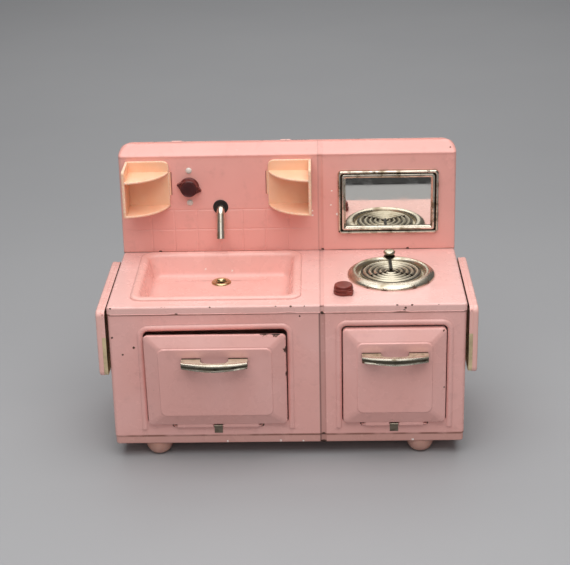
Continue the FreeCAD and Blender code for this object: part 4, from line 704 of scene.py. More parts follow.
def slab(outline: Array, thickness: float, edge: float, wear: float = 1.0, steps: int = 4) -> Surface:
    """Give a convex outline a thickness, with its edges rolled over.

    The rings step in along the outline's own normals by e (1 - sin a) and rise by e (1 - cos a).

    Args:
        outline: the loop, anticlockwise.
        thickness: from face to face.
        edge: the roll's radius.
        wear: how worn the edges are.
        steps: rings on each roll.

    Returns:
        A closed surface between height zero and the thickness.
    """
    side = np.roll(outline, -1, 0) - np.roll(outline, 1, 0)
    normal = np.column_stack([side[:, 1], -side[:, 0]])
    normal /= np.maximum(np.linalg.norm(normal, axis=1, keepdims=True), WELD_MM)
    angle = np.linspace(0, QUARTER, steps)
    inset = edge * (1 - np.sin(angle))
    rise = edge * (1 - np.cos(angle))
    insets = np.concatenate([inset, inset[::-1]])
    heights = np.concatenate([rise, thickness - rise[::-1]])
    flat = outline[None] - insets[:, None, None] * normal[None]
    rings = np.concatenate([flat, np.broadcast_to(heights[:, None, None], flat.shape[:2] + (1,))], -1)
    amount = np.full(len(insets), wear)
    amount[[0, -1]] = 0
    return skin(rings, amount)


def carried(path: Array, section: Array, upright: Point) -> Array:
    """Carry a section along a path: p + a n + b u, where u is upright and n is u crossed with the path's run.

    Args:
        path: points of the path.
        section: the section's loop, in a and b.
        upright: the direction that stays square to the path.

    Returns:
        The stack of rings.
    """
    run = np.gradient(path, axis=0)
    side = np.cross(np.array(upright, float), run)
    side /= np.linalg.norm(side, axis=1, keepdims=True)
    aside = section[None, :, :1] * side[:, None]
    return path[:, None] + aside + section[None, :, 1:] * np.array(upright, float)


def strip(section: Array, ends: Span | Array, wear: float) -> Surface:
    """Carry a section in Y and Z straight across, from one X to another."""
    return skin(np.stack([np.column_stack([np.full(len(section), x), section]) for x in ends]), wear)


def circle(radius: float, steps: int = 20) -> Array:
    """Draw a circle about zero: r (cos a, sin a)."""
    angle = np.linspace(0, 2 * math.pi, steps, endpoint=False)
    return radius * np.column_stack([np.cos(angle), np.sin(angle)])


def oblong(left: float, right: float, low: float, high: float) -> Outline:
    """Give the four corners of an oblong, anticlockwise from the lower left."""
    return (left, low), (right, low), (right, high), (left, high)


def finish_piece(piece: Object, body: str, nodes: tuple[str, ...], smooth: float) -> Object:
    """Shade a piece, set it on its body and hide the CAD nodes that it stands for.

    Args:
        piece: the object, with its materials.
        body: the CAD body that it rides on.
        nodes: the CAD nodes that it replaces.
        smooth: the angle in degrees past which an edge stays sharp.

    Returns:
        The piece.
    """
    piece.data.shade_smooth()
    piece.data.set_sharp_from_angle(angle=math.radians(smooth))
    shading = piece.modifiers.new("even_shading", "WEIGHTED_NORMAL")
    shading.keep_sharp = True
    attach(piece, body)
    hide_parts(*nodes)
    log.info("%s on %s: %d faces", piece.name, body, len(piece.data.polygons))
    return piece


def weld(mesh: bpy.types.Mesh, outwards: bool) -> None:
    """Join the points of a mesh that lie on each other.

    Args:
        mesh: the mesh.
        outwards: whether its faces are also turned to look outwards.
    """
    shape = bmesh.new()
    shape.from_mesh(mesh)
    bmesh.ops.remove_doubles(shape, verts=shape.verts, dist=WELD_MM * MM)
    if outwards:
        bmesh.ops.recalc_face_normals(shape, faces=shape.faces)
    shape.to_mesh(mesh)
    shape.free()


def show(name: str, data: bpy.types.ID) -> Object:
    """Put a mesh, a light or a camera into the scene under a name."""
    thing = bpy.data.objects.new(name, data)
    bpy.context.scene.collection.objects.link(thing)
    return thing


def make_piece(name: str, surface: Surface, body: str, nodes: tuple[str, ...], slot: str,
               *materials: Material, smooth: float = 40.0) -> Object:
    """Turn a surface into a piece of the kitchen.

    Args:
        name: the piece's name.
        surface: its shape, a closed skin.
        body: the CAD body that it rides on.
        nodes: the CAD nodes that it replaces.
        slot: the record's finish that it takes; not used.
        materials: its finishes, the outside's first.
        smooth: the angle in degrees past which an edge stays sharp.

    Returns:
        The piece.
    """
    mesh = bpy.data.meshes.new(name)
    mesh.from_pydata((surface.points * MM).tolist(), [], surface.quads.tolist() + surface.caps)
    tones = np.concatenate([surface.tones, np.array(surface.cap_tones, int)]).astype(np.int32)
    mesh.polygons.foreach_set("material_index", tones)
    mesh.attributes.new("wear", "FLOAT", "POINT").data.foreach_set("value", surface.wear.astype(np.float32))
    weld(mesh, outwards=True)
    for material in materials:
        mesh.materials.append(material)
    return finish_piece(show(name, mesh), body, nodes, smooth)


def merged_copy(node: str, body: str, material: Material, smooth: float = 32.0) -> Object:
    """Copy a CAD node with its triangles joined, so that its bends shade smoothly.

    Args:
        node: the CAD node.
        body: the CAD body that it rides on.
        material: its finish.
        smooth: the angle in degrees past which an edge stays sharp.

    Returns:
        The copy, which replaces the node.
    """
    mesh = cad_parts[node].data.copy()
    mesh.name = node + "_sheet"
    weld(mesh, outwards=False)
    mesh.materials.clear()
    mesh.materials.append(material)
    return finish_piece(show(node + "_sheet", mesh), body, (node,), smooth)


def dress_nodes(material: Material, *nodes: str) -> None:
    """Give CAD nodes that stay as they are a finish.

    Args:
        material: the finish.
        nodes: the nodes that take it.
    """
    for node in nodes:
        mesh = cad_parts[node].data
        mesh.materials.clear()
        mesh.materials.append(material)
        log.info("%s dressed as %s", node, material.name)


@dataclass
class Cabinet:
    """The folded body: shell, floor tray, partition, back sheet and four feet."""

    front: float = field(default_factory=lambda: cad_box("worktop")[0][1])
    channel: float = 6.2
    # How strongly the divider's channel is darkened as painted shade
    channel_shade: float = 0.5
    wire_ends: Lengths = (-110.75, -25.75, 70.75, 132.75)
    wire_height: float = 35.5
    wire_hole_shade: float = 4.4
    # The marks on the divider at the lip and at the tray paint the dark notches where its channel meets each
    # fold, as painted shade
    chips: Marks = (
        (DIVIDER, 152, 5.0), (DIVIDER, 24, 4.0), (-166, 129, 2.0), (-146, 118.4, 2.6), (-157, 111, 2.0),
        (-138, 57.6, 1.6), (12.4, 149, 2.0))
    shell_seams: Span = (24.4, 151.8)
    # The mark on the divider paints the dark notch where the channel meets the tray's lower fold, as painted
    # shade
    tray_chips: Marks = ((DIVIDER, 16, 4.0),)
    tray_rubs: Marks = ((-8, 17, 3.2), (14, 16, 3), (-60, 17, 2.4), (120, 17, 3))
    tray_seams: Lengths = (23.6,)
    back_chips: Marks = ((-120, 40, 5), (90, 150, 4), (150, 230, 5))
    back_seams: Lengths = (24.0,)
    foot_profile: Outline = (
        (0, 0), (6, 0.3), (9.7, 2.4), (12.2, 6.5), (13.3, 11.0), (13.5, 14.9), (0, 14.9))
    foot_reach: Lengths = (0, 2.0, 2.4, 2.6, 2.6, 0.5, 0)
    foot_heights: Lengths = (0, 2, 4)
    foot_wear: Lengths = (0.8, 0.3, 0)
    sag_heights: Span = (118.0, 149.0)
    sag_fade: float = 12.0
    sag_depth: float = 12.0
    sag_reach: Span = (-156.0, 20.0)
    sag_drops: Span = (3.6, 2.0)
    panel_edge: float = 0.22
    panel_corner: float = 14.0

    def build(self) -> None:
        """Make the body's pieces."""
        front = self.front + SHEET
        grooves = ((DIVIDER, self.channel, self.channel_shade),)
        # The spots where the hinge wires pass into the shell are painted dark as the shade in their holes
        holes = tuple((x, self.wire_height, self.wire_hole_shade) for x in self.wire_ends)
        shell = PINK.dress("shell", cad_box("cabinet_shell"), on_face(front, holes + self.chips),
                           seams=self.shell_seams, grooves=grooves)
        self.sag(merged_copy("cabinet_shell", "cabinet", shell))
        tray = Enamel(paint="#DDA79D", faded="#D8A196").dress(
            "floor_tray", cad_box("base_tray"), on_face(front, self.tray_chips),
            on_face(front, self.tray_rubs), self.tray_seams, grooves)
        merged_copy("base_tray", "cabinet", tray)
        dress_nodes(SATIN.dress("partition", cad_box("partition")), "partition")
        self.back_sheet()
        self.feet()
        dress_nodes(STEEL.dress("foot_rivets"), "foot_rivets")

    def sag(self, shell: Object) -> None:
        """Let the bead over the sink's opening hang: lower by s(x), faded in over the height below it.

        Args:
            shell: the shell's piece, whose points are moved.
        """
        points = np.empty(3 * len(shell.data.vertices))
        shell.data.vertices.foreach_get("co", points)
        points = points.reshape(-1, 3) / MM
        share = np.clip((points[:, 2] - self.sag_heights[0]) / self.sag_fade, 0, 1)
        share *= (points[:, 2] < self.sag_heights[1]) & (points[:, 1] < self.front + self.sag_depth)
        share *= (points[:, 0] > self.sag_reach[0]) & (points[:, 0] < self.sag_reach[1])
        points[:, 2] -= share * np.interp(points[:, 0], self.sag_reach, self.sag_drops)
        shell.data.vertices.foreach_set("co", (points * MM).ravel())
        shell.data.update()

    def back_sheet(self) -> None:
        """Cut the back sheet: an upright outline with two rounded upper corners, as thick as the tin."""
        low, high = cad_box("rear_panel")
        corner = self.panel_corner
        turn = np.linspace(0, QUARTER, CORNER_STEPS)
        arc = corner * np.column_stack([np.cos(turn), np.sin(turn)])
        right, left = high[0] - low[0] - corner, corner
        top = high[2] - low[2] - corner
        outline = np.concatenate([
            [(0, 0), (high[0] - low[0], 0)], arc + (right, top), arc[::-1] * (-1, 1) + (left, top)])
        sheet = slab(outline, high[1] - low[1], self.panel_edge, wear=0.8)
        sheet.stood((high[0], low[1], low[2]), Facing.BACK)
        chips = on_face(high[1], self.back_chips)
        make_piece("back_sheet", sheet, "cabinet", ("rear_panel",), "back_paint",
                   SATIN.dress("back_sheet", spots=chips, seams=self.back_seams))

    def feet(self) -> None:
        """Turn the four feet from one profile of radius and height."""
        profile = soften(self.foot_profile, self.foot_reach)
        finish = BLUSH.dress("foot")
        for corner in ("front_left", "front_right", "rear_left", "rear_right"):
            x, y, _ = middle_of(corner + "_foot")
            shape = skin(turned(profile), np.interp(profile[:, 1], self.foot_heights, self.foot_wear))
            shape.stood((x, y, 0))
            make_piece(corner + "_dome", shape, "cabinet", (corner + "_foot",), "foot_plastic", finish)


@dataclass
class Worktop:
    """The lid sheet with its sunk basin, the hem of its front lip and the eyelet of the drain."""

    rim_profile: Outline = (
        (0, 0.05), (0.2, 1.4), (2.0, 2.5), (4.6, 2.6), (7.0, 2.0), (8.7, 0.2), (13.6, -21.4), (24, -21.4))
    rim_reach: Lengths = (0, 0.8, 1.3, 1.4, 1.4, 1.8, 5.0, 0)
    under_profile: Outline = ((24, -21.9), (13.0, -21.9), (8.0, 0.05))
    corner_insets: Lengths = (0, 8, 13, 24)
    corner_radii: Lengths = (12, 9.5, 8.5, 4)
    drain_radius: float = 6.0
    eyelet_profile: Outline = (
        (4.5, -2.9), (5.8, -2.9), (5.8, 0.05), (10.1, 0.05), (9.8, 1.3), (8.0, 2.4), (5.8, 1.9), (4.5, -0.4))
    eyelet_reach: Lengths = (0.2, 0.2, 0.1, 0.1, 0.7, 1.0, 0.8, 0.5)
    eyelet_neck: float = 3.0
    channel: float = 4.0
    # How strongly the divider's channel is darkened as painted shade
    channel_shade: float = 0.16
    hem_radius: float = 0.6
    hem_height: float = 152.55
    hem_margin: float = 3.2
    hem_chips: Outline = ((DIVIDER, 3.6), (-104, 2.6))
    dents: Marks = ((2, 6, 0.8), (108, 7, 0.9), (-106, 5, 0.5), (118, 4, -0.3))
    seams: Lengths = (152.3,)
    # The mark on the divider paints the dark notch where the channel meets the lip's fold, as painted shade
    chips: Marks = (
        (4, 159.4, 2.4), (-10, 159.6, 1.8), (17, 159.5, 1.8), (-72, 159.6, 1.6), (104, 159.5, 1.8),
        (111, 154.0, 2.2), (112, 156.4, 2.0), (118, 159.4, 1.8), (DIVIDER, 153, 3.0), (-166, 159, 1.7),
        (143, 159.6, 1.5))
    basin_chips: Spots = ((-85, 52, 147, 3), (-58, 52, 145, 2))

    def build(self) -> None:
        """Make the lid, its hem, the basin and the eyelet."""
        low, high = cad_box("worktop")
        lid = Enamel(paint="#F4C2BA", faded="#F1BCB3").dress(
            "lid", (low, high), on_face(low[1], self.chips), seams=self.seams,
            grooves=((DIVIDER, self.channel, self.channel_shade),))
        merged_copy("worktop", "cabinet", lid)
        self.hem(low, high)
        self.basin()
        self.eyelet()

    def hem(self, low: Array, high: Array) -> None:
        """Carry a round bead along the lip's lower edge, raised by h exp(-((x - a) / w)^2) at each dent.

        Args:
            low: the lid's lowest corner.
            high: its highest corner.
        """
        x = np.linspace(low[0] + self.hem_margin, high[0] - self.hem_margin, 240)
        rise = sum(height * np.exp(-((x - middle) / width) ** 2) for middle, width, height in self.dents)
        path = np.column_stack([x, np.full_like(x, low[1] + self.hem_radius / 2), self.hem_height + rise])
        bead = skin(carried(path, circle(self.hem_radius, 12), (0, 0, 1)), 0.15)
        chips = tuple((place, low[1], self.hem_height, radius) for place, radius in self.hem_chips)
        make_piece("lip_hem", bead, "cabinet", (), "pink_enamel", PINK.dress("lip_hem", spots=chips))

    def basin(self) -> None:
        """Press the basin: rounded rectangles drawn in over the rim, down the wall and along the floor.

        The floor's last rectangle runs to the circle of the drain, point by point at the same angle, and the
        underside comes back the same way to the rim's outer edge.
        """
        low, high = cad_box("sink_basin")
        counter = cad_box("worktop")[1][2]
        centre = (low + high) / 2
        top = soften(self.rim_profile, self.rim_reach, 8)[::-1]
        profile = np.concatenate([top, np.array(self.under_profile)[::-1]])
        radii = np.interp(profile[:, 0], self.corner_insets, self.corner_radii)
        rings = framed((high[0] - low[0]) / 2, (high[1] - low[1]) / 2, profile, radii)
        hole = rounded_loop(self.drain_radius, self.drain_radius, self.drain_radius)
        hole += middle_of("drain_eyelet")[:2] - centre[:2]
        mouth = [np.column_stack([hole, np.full(len(hole), height)]) for height in profile[[0, -1], 1]]
        stack = np.concatenate([mouth[:1], rings, mouth[1:]])
        shape = skin(stack, closed=True).stood((centre[0], centre[1], counter))
        paint = Enamel(paint="#F5BEB4", faded="#F2B9AE").dress("basin", pale_spots=self.basin_chips)
        make_piece("basin", shape, "cabinet", ("sink_basin",), "pink_enamel", paint)

    def eyelet(self) -> None:
        """Turn the drain's eyelet: a collar through the floor under a rolled flange."""
        x, y, _ = middle_of("drain_eyelet")
        foot = cad_box("drain_eyelet")[0][2]
        profile = soften(self.eyelet_profile, self.eyelet_reach, 5, closed=True)
        shape = skin(turned(profile), closed=True).stood((x, y, foot + self.eyelet_neck))
        make_piece("drain_ring", shape, "cabinet", ("drain_eyelet",), "brass_trim", BRASS.dress("drain_ring"))


@dataclass
class Splashback:
    """The upright pan behind the worktop, with its pressed tiles, and the back of the tap."""

    crease_drop: float = 10.0
    crease_round: float = 2.0
    crease_gain: float = 3.0
    bead_height: float = 0.9
    bead_width: float = 1.7
    corner: float = 11.0
    edge_rounds: Span = (1.0, 4.2)
    seam_gap: float = 0.35
    tile_rows: Lengths = (184.6, 205.6)
    tile_columns: Lengths = (-139.4, -116.1, -92.8, -69.5, -46.2, -22.9, 0.4)
    tile_reach: Span = (-159, 24)
    groove_width: float = 1.2
    groove_depth: float = 0.4
    divider_width: float = 3.0
    divider_depth: float = 0.8
    # How strongly the divider's channel is darkened as painted shade
    divider_shade: float = 0.14
    flat_margin: float = 1.0
    foot_wear: float = 0.7
    foot_fade: float = 2.0
    chips: Marks = ((25, 203, 2.6), (25, 198, 2.2), (44, 209, 2.0), (50, 199, 2.4), (45, 224, 1.8))
    dark: Marks = ((-132, 160.6, 2.6), (122, 160.8, 2.6), (35, 160.8, 3.4))
    corner_chip: Spots = ((164, 4, 267, 2.0),)
    seams: Lengths = (160.2,)
    slit_edge: float = 0.06
    slit_width: float = 1.8
    slit_depth: float = 3.0
    slit_height: float = 24.4

    def build(self) -> None:
        """Make the pan and dress what is behind it."""
        low, high = cad_box("splashback")
        shape = self.pan(low, high)
        dark = on_face(low[1], self.dark) + moved(self.corner_chip, (0, low[1], 0))
        paint = Enamel(paint="#F5B3A8", faded="#F2AFA4", roughness=0.18).dress(
            "splashback", spots=dark, pale_spots=on_face(low[1], self.chips), seams=self.seams,
            grooves=((DIVIDER, 2 * self.divider_width, self.divider_shade),))
        piece = make_piece("splash_pan", shape, "cabinet", ("splashback",), "pink_enamel", paint)
        wall = piece.modifiers.new("tin_thickness", "SOLIDIFY")
        wall.thickness = SHEET * MM
        wall.offset = -1
        piece.modifiers.move(len(piece.modifiers) - 1, 0)
        dress_nodes(ZINC.dress("tap_body"), "tap_body")
        dress_nodes(STEEL.dress("tap_spindle"), "tap_spindle")

    def slits(self) -> list[Point]:
        """Find the slits for the shelves' tabs.

        Returns:
            Each slit's left side, foot and head.
        """
        middle = middle_of("left_shelf")[2]
        half = self.slit_height / 2
        edges = (cad_box("left_shelf")[1][0], cad_box("right_shelf")[0][0])
        return [(edge - self.slit_width / 2, middle - half, middle + half) for edge in edges]

    def places(self, low: Array, high: Array, slits: list[Point]) -> Box:
        """Choose the grid's places, closer together at the grooves, the slits and the crease.

        Args:
            low: the CAD pan's lowest corner.
            high: its highest corner.
            slits: the slits for the shelves' tabs.

        Returns:
            The places across and the heights.
        """
        bend = high[2] - self.crease_drop - self.corner
        spread = np.linspace(-1, 1, 7) * self.groove_width
        beside = np.array([-self.slit_edge, self.slit_edge])
        x = np.concatenate([
            np.linspace(-1, 1, 60) * (high[0] - self.corner),
            (np.array(self.tile_columns)[:, None] + spread).ravel(),
            DIVIDER + np.linspace(-1, 1, 9) * self.divider_width, self.tile_reach,
            *[edge + beside for slit in slits for edge in (slit[0], slit[0] + self.slit_width)]])
        z = np.concatenate([
            np.linspace(low[2] + self.seam_gap, bend, 30), np.linspace(bend, high[2], 44),
            (np.array(self.tile_rows)[:, None] + spread).ravel(),
            *[edge + beside for slit in slits for edge in slit[1:]]])
        return np.unique(x), np.unique(z)

    def pan(self, low: Array, high: Array) -> Surface:
        """Fold the pan as one grid of places across by rows up.

        At height z the face lies back by how far z is above the crease, blended over the crease's round, and
        a bead b exp(-((z - c) / w)^2) stands along it. The half width is W - r + sqrt(r^2 - (z - m)^2) above
        the corner's middle m, and the two ends of a row turn over a rounded edge and run back to the rear.
        Grooves sink the face by d (1 + cos(pi s / w)) / 2 at a distance s from their line.

        Args:
            low: the CAD pan's lowest corner.
            high: its highest corner.

        Returns:
            The pan, open behind and below.
        """
        top, crease = high[2], high[2] - self.crease_drop
        slits = self.slits()
        x, z = self.places(low, high, slits)
        gain = self.crease_gain
        lean = np.logaddexp(0, (z - crease) * gain / self.crease_round) * self.crease_round / gain
        lean = np.minimum(lean, self.crease_drop)
        lean -= self.bead_height * np.exp(-((z - crease) / self.bead_width) ** 2)
        edge = np.interp(z, (low[2], top), self.edge_rounds)[:, None]
        arc = np.clip(z - (top - self.corner), 0, self.corner)
        half = (high[0] - self.corner + np.sqrt(self.corner ** 2 - arc ** 2))[:, None]
        flat = np.abs(x) < high[0] - self.corner - self.flat_margin
        face_x = np.where(flat, x, np.sign(x) * (half - edge))
        face_x = np.clip(face_x, edge - half, half - edge)
        height = z[:, None] + 0 * face_x
        face_y = low[1] + lean[:, None] + self.sunk(face_x, height, slits)
        # Across a row: back edge, side, rounded edge, face, rounded edge, side, back edge
        bend = np.linspace(0, QUARTER, 6)
        lead = np.concatenate([[0.0], 1 - np.cos(bend)])
        depth = np.concatenate([[1.0], 1 - np.sin(bend)])
        side_x = lead * edge - half
        side_y = low[1] + lean[:, None] + depth * edge
        side_y[:, 0] = np.maximum(high[1], side_y[:, 0])
        side_y = np.minimum(side_y, high[1])
        across = np.concatenate([side_x, face_x, -side_x[:, ::-1]], 1)
        back = np.concatenate([side_y, face_y, side_y[:, ::-1]], 1)
        rows = np.stack([across, back, z[:, None] + 0 * across], -1)
        last = rows[-1:].copy()
        last[..., 1] = high[1]
        rows = np.concatenate([rows, last])
        count, steps = rows.shape[:2]
        start = (np.arange(count - 1)[:, None] * steps + np.arange(steps - 1)).ravel()
        quads = np.stack([start, start + 1, start + steps + 1, start + steps], -1)
        fade = np.exp(-np.abs(np.append(z, top) - low[2]) / self.foot_fade)
        worn = self.foot_wear * fade[:, None] + np.zeros(steps)
        return Surface(rows.reshape(-1, 3), quads, np.zeros(len(quads), int), [], [], worn.ravel())

    def sunk(self, x: Array, z: Array, slits: list[Point]) -> Array:
        """Work out how far the pressed grooves and the slits sink the face.

        Args:
            x: places across the face.
            z: heights.
            slits: the slits for the shelves' tabs.

        Returns:
            The depth at each place.
        """
        def groove(away: Array, width: float, depth: float) -> Array:
            """Sink by d (1 + cos(pi s / w)) / 2 within the width w of a groove's line."""
            return depth * (1 + np.cos(math.pi * np.clip(np.abs(away) / width, 0, 1))) / 2

        inside = (x > self.tile_reach[0]) & (x < self.tile_reach[1])
        inside &= z < max(self.tile_rows) + self.groove_width
        depth = np.zeros_like(x)
        for column in self.tile_columns:
            depth = np.maximum(depth, groove(x - column, self.groove_width, self.groove_depth))
        for row in self.tile_rows:
            depth = np.maximum(depth, groove(z - row, self.groove_width, self.groove_depth))
        depth = depth * inside
        below = np.clip((z.max() - self.crease_drop - z) / self.crease_round, 0, 1)
        depth = np.maximum(depth, groove(x - DIVIDER, self.divider_width, self.divider_depth) * below)
        for start, bottom, top in slits:
            hole = (x > start) & (x < start + self.slit_width) & (z > bottom) & (z < top)
            depth = np.where(hole, self.slit_depth, depth)
        return depth


@dataclass
class Tap:
    """The finned tap knob with its two rivets, and the bent spout in its grommet."""

    knob_profile: Outline = (
        (0, 0.4), (10, 0.4), (10, 1.9), (8.9, 3.2), (8.5, 8.4), (7.7, 9.0), (6.9, 8.6), (0, 8.5))
    knob_reach: Lengths = (0, 0.3, 0.6, 0.7, 0.6, 0.5, 0.5, 0)
    face_from: float = 8.5
    rim_heights: Lengths = (8.2, 8.8, 9.0)
    rim_wear: Lengths = (0, 0.6, 0.3)
    rim_from: float = 5.0
    seat_gap: float = 0.4
    fin: Outline = (
        (4.0, -4.7), (8.0, -4.4), (12.75, -0.2), (12.75, 0.2), (8.0, 4.4), (4.0, 4.7))
    fin_reach: Lengths = (0.2, 1.2, 0.5, 0.5, 1.2, 0.2)
    fin_height: float = 5.0
    fin_edge: float = 0.5
    rest_turn: float = 16.0
    rivet_radius: float = 3.2
    rivet_height: float = 1.8
    tube_radius: float = 4.3
    tube_wall: float = 0.6
    tube_drop: float = 1.6
    bend_start: float = 3.5
    bend: float = 8.5
    bend_angle: float = 68.0
    straight: float = 24.5
    socket: float = 6.5
    tip_rust: float = 4.0
    elbow_rust: float = 7.0
    elbow_out: float = 1.0
    ring_profile: Outline = (
        (0, 0.05), (7.7, 0.05), (7.7, 0.9), (6.9, 1.2), (5.9, 1.1), (5.2, 0.2), (0, 0.15))
    ring_reach: Lengths = (0, 0.2, 0.5, 0.5, 0.5, 0.3, 0)

    def build(self) -> None:
        """Make the knob, the rivets, the spout and the grommet."""
        face = cad_box("splashback")[0][1]
        knob_x, _, knob_z = middle_of("tap_spindle")
        spout_x, _, spout_z = middle_of("spout_grommet")
        self.knob((knob_x, face, knob_z))
        low, high = cad_box("tap_rivets")
        ends = (low[2] + self.rivet_radius, high[2] - self.rivet_radius)
        self.rivets([(knob_x, face, height) for height in ends])
        self.spout((spout_x, face, spout_z))

    def knob(self, origin: Point) -> None:
        """Turn the knob's stepped body, with a darker sunk face, and stand its two wedge fins on the skirt.

        Args:
            origin: the middle of its seat on the splashback.
        """
        profile = soften(self.knob_profile, self.knob_reach)
        worn = np.interp(profile[:, 1], self.rim_heights, self.rim_wear) * (profile[:, 0] > self.rim_from)
        rim = int(np.argmax(profile[:, 1] > self.face_from))
        body = skin(turned(profile), worn, inside_from=rim)
        wedge = soften(self.fin, self.fin_reach, 4, closed=True)
        fins = [slab(wedge * sign, self.fin_height, self.fin_edge, wear=0.5).stood((0, 0, self.seat_gap))
                for sign in (1, -1)]
        shape = gather(body, *fins).turned_about((0, 0, 0), -self.rest_turn, 2).stood(origin, Facing.FRONT)
        dark = Plastic("polished_phenolic", "#3A0F10", "#451415", "#5A2422", roughness=0.22, flow_size=6)
        make_piece("tap_handle", shape, "tap_knob", ("tap_knob",), "knob_plastic", MAROON.dress("tap_handle"),
                   dark.dress("tap_handle_face"))

    def rivets(self, places: list[Point]) -> None:
        """Dome the two rivets: radius R cos a and height H sin a.

        Args:
            places: the middle of each rivet's seat.
        """
        angle = np.linspace(0, QUARTER, 9)
        dome = np.column_stack([self.rivet_radius * np.cos(angle), self.rivet_height * np.sin(angle)])
        profile = np.concatenate([[(0, 0)], dome])
        heads = [skin(turned(profile, 32)).stood(place, Facing.FRONT) for place in places]
        make_piece("tap_rivet_heads", gather(*heads), "cabinet", ("tap_rivets",), "white_rivet",
                   IVORY.dress("tap_rivet_heads"), smooth=60)

    def spout(self, origin: Point) -> None:
        """Carry the tube's wall along a straight, an arc and a straight, outside and back inside.

        Args:
            origin: the middle of its hole in the splashback.
        """
        turn = np.linspace(0, math.radians(self.bend_angle), 16)
        arc = np.column_stack([self.bend_start - self.bend * np.sin(turn), self.bend * (np.cos(turn) - 1)])
        run = np.array([-math.cos(turn[-1]), -math.sin(turn[-1])])
        straight = arc[-1] + np.linspace(0, self.straight, 12)[1:, None] * run
        start = np.column_stack([np.linspace(self.socket, self.bend_start, 6)[:-1], np.zeros(5)])
        flat = np.concatenate([start, arc, straight]) - (0, self.tube_drop)
        path = np.column_stack([np.zeros(len(flat)), flat])
        outer, lip, inner = (carried(path, circle(self.tube_radius - self.tube_wall * share, 40), (1, 0, 0))
                             for share in (0, 0.5, 1))
        lip = lip[-1:] + np.array([0, *run]) * self.tube_wall / 4
        stack = np.concatenate([outer, lip, inner[::-1]])
        worn = np.zeros(len(stack))
        worn[len(outer) - 1:len(outer) + 1] = 0.7
        shape = skin(stack, worn, closed=True).stood(origin)
        x, y, z = origin
        tip = (x, y + flat[-1, 0], z + flat[-1, 1], self.tip_rust)
        elbow = (x, y - self.elbow_out, z + self.tube_radius - self.tube_drop, self.elbow_rust)
        nickel = Plate("nickel_plate", "#E2D8C8", "#B3A288", roughness=0.28, dulling=0.14, rust="#3A2C22")
        make_piece("spout_pipe", shape, "cabinet", ("spout_tube",), "nickel_plate",
                   nickel.dress("spout_pipe", (tip, elbow)), smooth=50)
        profile = soften(self.ring_profile, self.ring_reach, 4)
        ring = skin(turned(profile)).stood(origin, Facing.FRONT)
        make_piece("spout_ring", ring, "cabinet", ("spout_grommet",), "black_rubber",
                   RUBBER.dress("spout_ring"))


@dataclass
class Shelf:
    """A moulded corner shelf: a back plate, a side plate and two round-fronted shelves."""

    side: Side
    radius: float = 44.5
    depth: float = 37.0
    height: float = 48.5
    plate: float = 2.4
    wall: float = 3.0
    upper: float = 35.2
    edge: float = 1.0
    free_margin: float = 0.6
    seat: float = 0.02
    back_rounds: Lengths = (1.1, 2.0, 7.0, 1.1)
    side_rounds: Lengths = (1.2, 1.1, 1.1, 3.4)
    shelf_inset: float = 0.3
    shelf_share: float = 0.995
    shelf_shift: Span = (0.25, -0.02)
    tab_reach: float = 0.85
    tab_height: float = 24.0
    tab_root: float = 2.0
    tab_round: float = 0.4
    tab_depth: float = 5.2
    tab_edge: float = 0.2
    tab_back: float = 3.4

    def build(self) -> None:
        """Make the shelf and set it on the splashback."""
        name = "%s_shelf" % self.side.name.lower()
        low, high = cad_box(name)
        face = cad_box("splashback")[0][1]
        corner_x = low[0] if self.side is Side.LEFT else high[0]
        shelves = [self.round_shelf(rise) for rise in (0, self.upper)]
        shape = gather(self.back_plate(), self.side_plate(), *shelves, self.tab())
        shape.points = shape.points * (-self.side.value, 1, 1) + (corner_x, face, low[2])
        make_piece(name + "_moulding", shape, "cabinet", (name,), "shelf_plastic",
                   PEACH.dress(name + "_moulding"))

    def back_plate(self) -> Surface:
        """Stand the back plate, whose free upper corner is rounded."""
        corners = oblong(0, self.radius - self.free_margin, 0, self.height)
        outline = soften(corners, self.back_rounds, 7, closed=True)
        return slab(outline, self.wall, self.edge).stood((0, -self.seat, 0), Facing.FRONT)

    def side_plate(self) -> Surface:
        """Stand the side plate, which reaches as far forward as the shelves."""
        outline = soften(oblong(-self.depth, 0, 0, self.height), self.side_rounds, 7, closed=True)
        return slab(outline, self.wall, self.edge).stood((0, 0, 0), Facing.RIGHT)

    def round_shelf(self, rise: float) -> Surface:
        """Lay one shelf: its front is R (sin a, -cos a) about a point behind the splashback's face.

        Args:
            rise: its underside above the lower shelf's.

        Returns:
            The shelf.
        """
        behind = self.radius - self.depth
        turn = np.linspace(0, math.acos(behind / self.radius), 28)
        arc = np.column_stack([self.radius * np.sin(turn), behind - self.radius * np.cos(turn)])
        corner = (self.shelf_inset, -self.shelf_inset)
        outline = np.concatenate([[corner], arc * self.shelf_share + self.shelf_shift])
        return slab(outline, self.plate, self.edge, wear=0.8).stood((0, 0, rise))

    def tab(self) -> Surface:
        """Stand the tab that hooks through the slit beside the back plate's free edge."""
        low, high = (self.height - self.tab_height) / 2, (self.height + self.tab_height) / 2
        inner, outer = self.radius - self.tab_root, self.radius + self.tab_reach
        outline = soften(oblong(inner, outer, low, high), self.tab_round, 4, closed=True)
        tab = slab(outline, self.tab_depth, self.tab_edge, wear=0.2)
        return tab.stood((0, self.tab_back, 0), Facing.FRONT)


